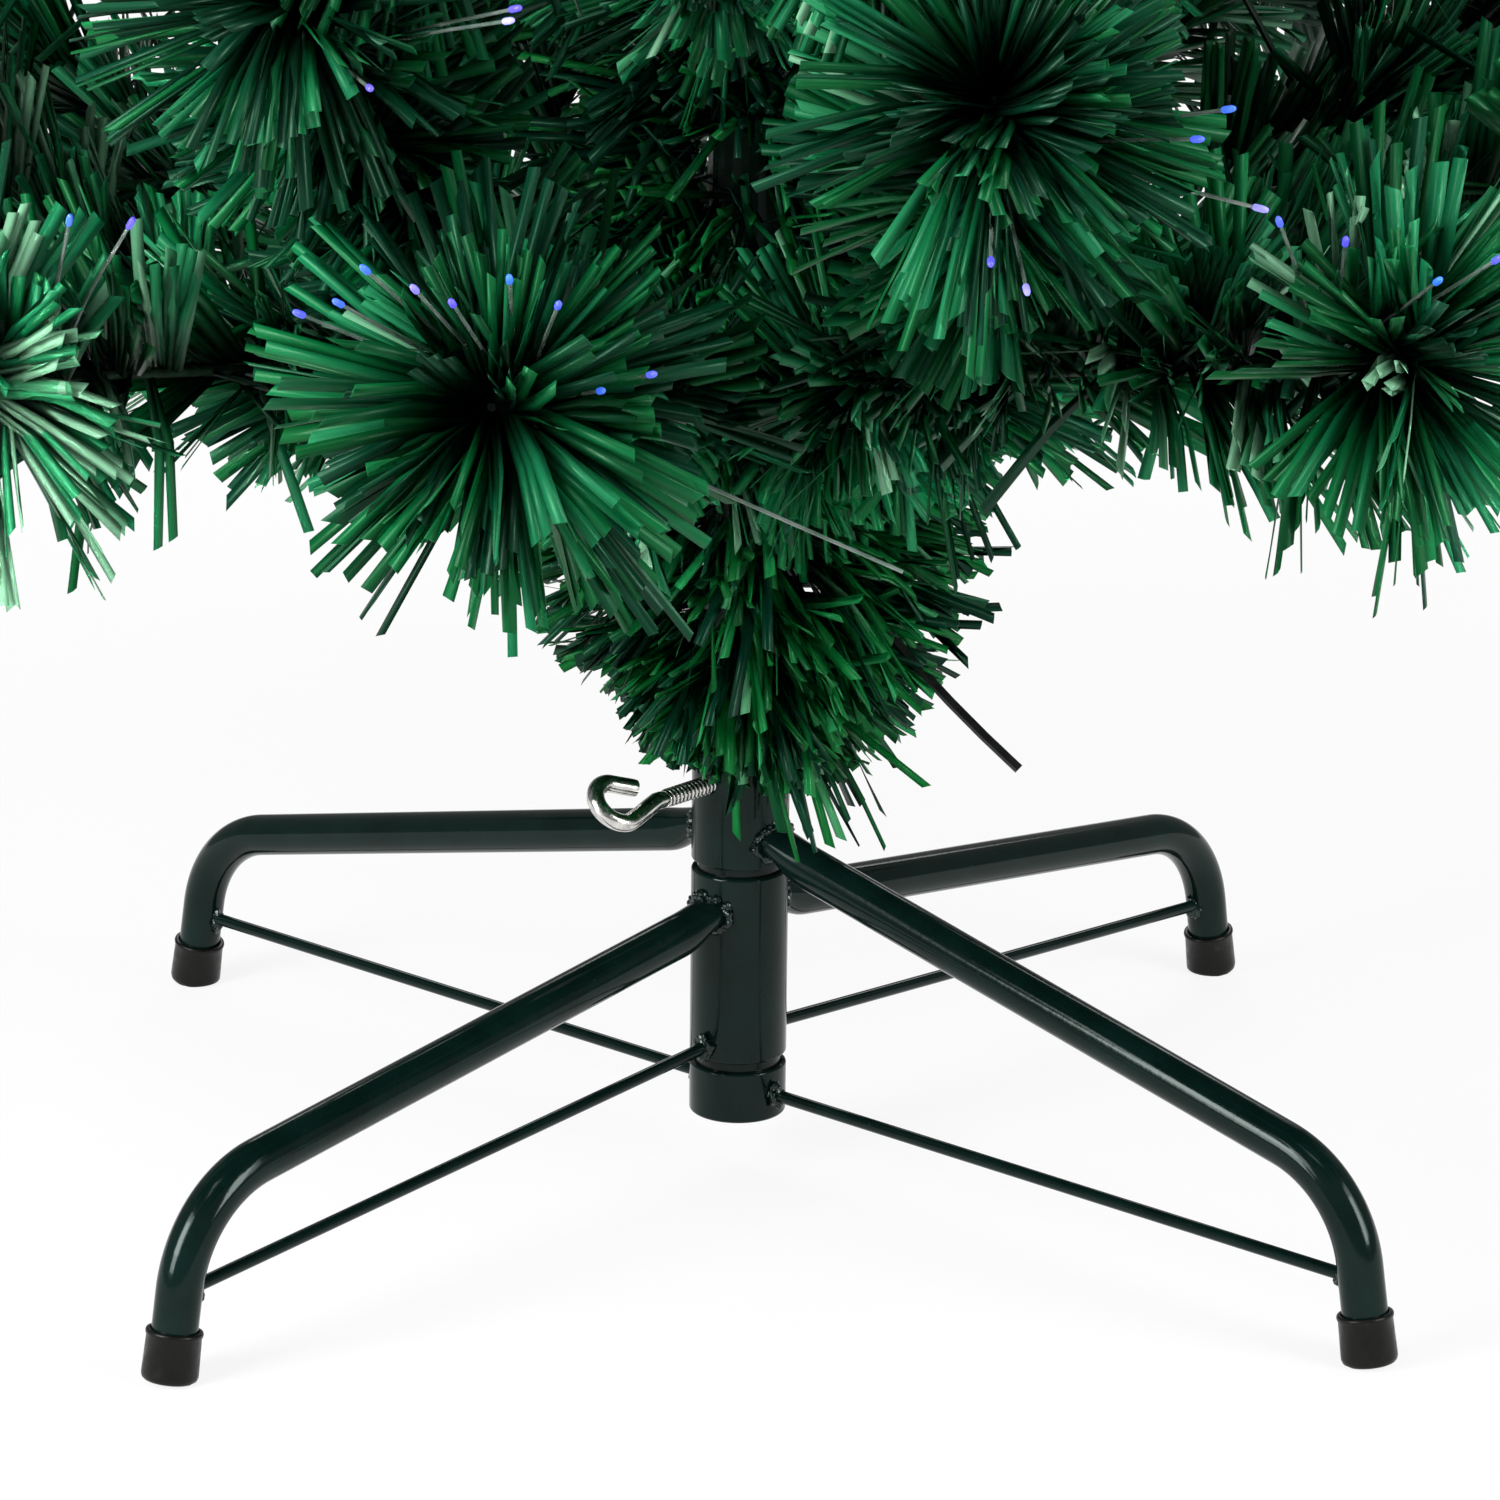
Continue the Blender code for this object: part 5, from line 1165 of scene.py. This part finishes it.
def fibre_rows(key, along):
    """Direction, reach and light of placed fibres, or else of loose ones round the tip."""
    rows = []
    for azimuth, elevation, reach in PLACED_FIBRES.get(key, ()):
        rise = math.radians(elevation)
        rows.append((polar(azimuth, math.cos(rise), math.sin(rise)), reach, reach < LONG_FIBRE))
    if rows:
        return rows
    hint = along.orthogonal().normalized()
    for angle, lean, reach, lit in RNG.uniform(0.0, 1.0, (FIBRES_PER_STEM, 4)):
        side = hint * math.cos(angle * math.tau) + along.cross(hint) * math.sin(angle * math.tau)
        turn = math.radians(20.0 + 45.0 * lean)
        way = side * math.cos(turn) + along * math.sin(turn)
        rows.append((way, 0.05 + 0.016 * reach, lit < LIT_SHARE))
    return rows


def build_fibres(stems_by_key, body, looks, name):
    """Clear fibres of one tree section and the lit dots at their ends."""
    clear, lit_ends = Tubes(), Tubes()
    lit_radii = [LIT_R * share for share in (0.8, 1.0, 1.0, 0.7, 0.3)]
    for key, stem in stems_by_key.items():
        along = (stem[-1] - stem[-3]).normalized()
        root = stem[-1] - along * FIBRE_SETBACK
        for way, reach, lit in fibre_rows(key, along):
            run = stem[-1] + way * reach - root
            heading = np.array([tuple(run.normalized())])
            room = room_left(np.array([tuple(root)]), heading, np.array([LIT_LENGTH]))[0]
            end = root + Vector(heading[0]) * min(run.length, room)
            knee = root.lerp(end, 0.5) + along * FIBRE_SAG
            curve = smooth_path([root, knee, end], 5)
            clear.add(curve, [FIBRE_R] * len(curve), FIBRE_SIDES)
            if lit:
                ahead = (curve[-1] - curve[-2]).normalized() * LIT_LENGTH
                dots = [curve[-1] + ahead * share for share in (-0.6, -0.5, 0.1, 0.35, 0.4)]
                lit_ends.add(dots, lit_radii, LIT_SIDES, RNG.uniform(0.0, 1.0))
    for tubes, label, look in ((clear, "fibres_", "fibre"), (lit_ends, "lit_ends_", "lit")):
        made = tubes.build(label + name, looks[look])
        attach(made, body)


# Stage

def build_stage():
    """White floor that keeps a soft shadow near the stand and fades into the world."""
    mat, tree, shader = principled("floor_white", Base_Color=grey(0.86), Roughness=0.9,
                                   Specular_IOR_Level=0.0)
    glow = node(tree, "ShaderNodeEmission", in_Color=grey(1.0), in_Strength=1.0)
    path = node(tree, "ShaderNodeLightPath")
    where = node(tree, "ShaderNodeTexCoord")
    radius = node(tree, "ShaderNodeVectorMath", operation="LENGTH")
    fade = node(tree, "ShaderNodeMapRange", in_From_Min=0.7, in_From_Max=2.2, in_To_Min=0.86,
                in_To_Max=1.0)
    seen = path.outputs["Is Camera Ray"]
    for ray in ("Is Glossy Ray", "Is Transmission Ray"):
        most = node(tree, "ShaderNodeMath", operation="MAXIMUM")
        link(tree, (seen, most.inputs[0]), (path.outputs[ray], most.inputs[1]))
        seen = most.outputs[0]
    share = node(tree, "ShaderNodeMath", operation="MULTIPLY")
    mix = node(tree, "ShaderNodeMixShader")
    link(tree, (where.outputs["Object"], radius.inputs[0]),
         (radius.outputs["Value"], fade.inputs["Value"]),
         (seen, share.inputs[0]), (fade.outputs["Result"], share.inputs[1]),
         (share.outputs[0], mix.inputs["Fac"]), (shader.outputs[0], mix.inputs[1]),
         (glow.outputs[0], mix.inputs[2]),
         (mix.outputs[0], tree.nodes["Material Output"].inputs["Surface"]))
    corners = np.array([(-1, -1, 0), (1, -1, 0), (1, 1, 0), (-1, 1, 0)]) * FLOOR_SIZE
    floor = mesh_from("floor", corners, np.array([[0, 1, 2, 3]]), NO_CAPS, {}, mat)
    floor.location = (0.0, 0.0, -0.0004)


def build_world():
    """White to the camera, and a dimmer light to everything else."""
    world = bpy.data.worlds.new("studio")
    SCENE.world = world
    world.use_nodes = True
    tree = world.node_tree
    back = tree.nodes["Background"]
    back.inputs["Color"].default_value = grey(1.0)
    path = node(tree, "ShaderNodeLightPath")
    strength = node(tree, "ShaderNodeMapRange", in_To_Min=0.26, in_To_Max=1.0)
    link(tree, (path.outputs["Is Camera Ray"], strength.inputs["Value"]),
         (strength.outputs["Result"], back.inputs["Strength"]))


def build_lights():
    """Soft rectangular lamps, each aimed at a point."""
    for name, place, target, size, power, spread in LAMPS:
        data = bpy.data.lights.new(name, "AREA")
        data.shape = "RECTANGLE"
        data.size, data.size_y = size
        data.energy = power
        data.spread = math.radians(spread)
        made = add_object(name, data)
        made.location = place
        way = Vector(target) - Vector(place)
        made.rotation_euler = way.to_track_quat("-Z", "Y").to_euler()


def build_camera():
    data = bpy.data.cameras.new("camera")
    data.sensor_width = SENSOR_WIDTH
    data.lens = CAMERA_LENS
    data.clip_start, data.clip_end = 0.05, 50.0
    made = add_object("camera", data)
    made.matrix_world = Matrix(CAMERA_MATRIX)
    SCENE.camera = made


def dress_nodes(looks):
    """Give each CAD node the material of its record slot."""
    for row in frame["record"]["subparts"]:
        held = frame["nodes"][row["node"]]
        mat = looks.get(row["material_slot"])
        if mat is None:
            continue
        if not held.material_slots:
            held.data.materials.append(mat)
        for place in held.material_slots:
            place.material = mat


def main():
    build_camera()
    looks = dict(plain_looks(), nickel=nickel_material(), lit=lit_material())
    dress_nodes(looks)
    film = film_material("needle_film", NEEDLE_GREENS, 0.32)
    for place, azimuth, body in LEG_PLACES:
        build_leg(place, azimuth, body, looks)
    build_hub(looks["stand_paint"])
    build_bolt(looks["nickel"])
    build_tinsel(film_material("tinsel_film", TINSEL_GREENS, 0.28))
    stems = {"tree_lower": {}, "tree_upper": {}}
    for plan in plan_branches():
        body = "tree_lower" if plan[1] < LOWER_TIERS else "tree_upper"
        for order, stem in enumerate(build_branch(plan, film, looks["wire"], body)):
            stems[body][(plan[0], order)] = stem
    stems["tree_upper"][("tree_top", 0)] = build_top(film, looks["wire"])
    build_fibres(stems["tree_lower"], "tree_lower", looks, "lower")
    build_fibres(stems["tree_upper"], "tree_upper", looks, "upper")
    build_stage()
    build_world()
    build_lights()
    SCENE.view_settings.view_transform = "Standard"


main()
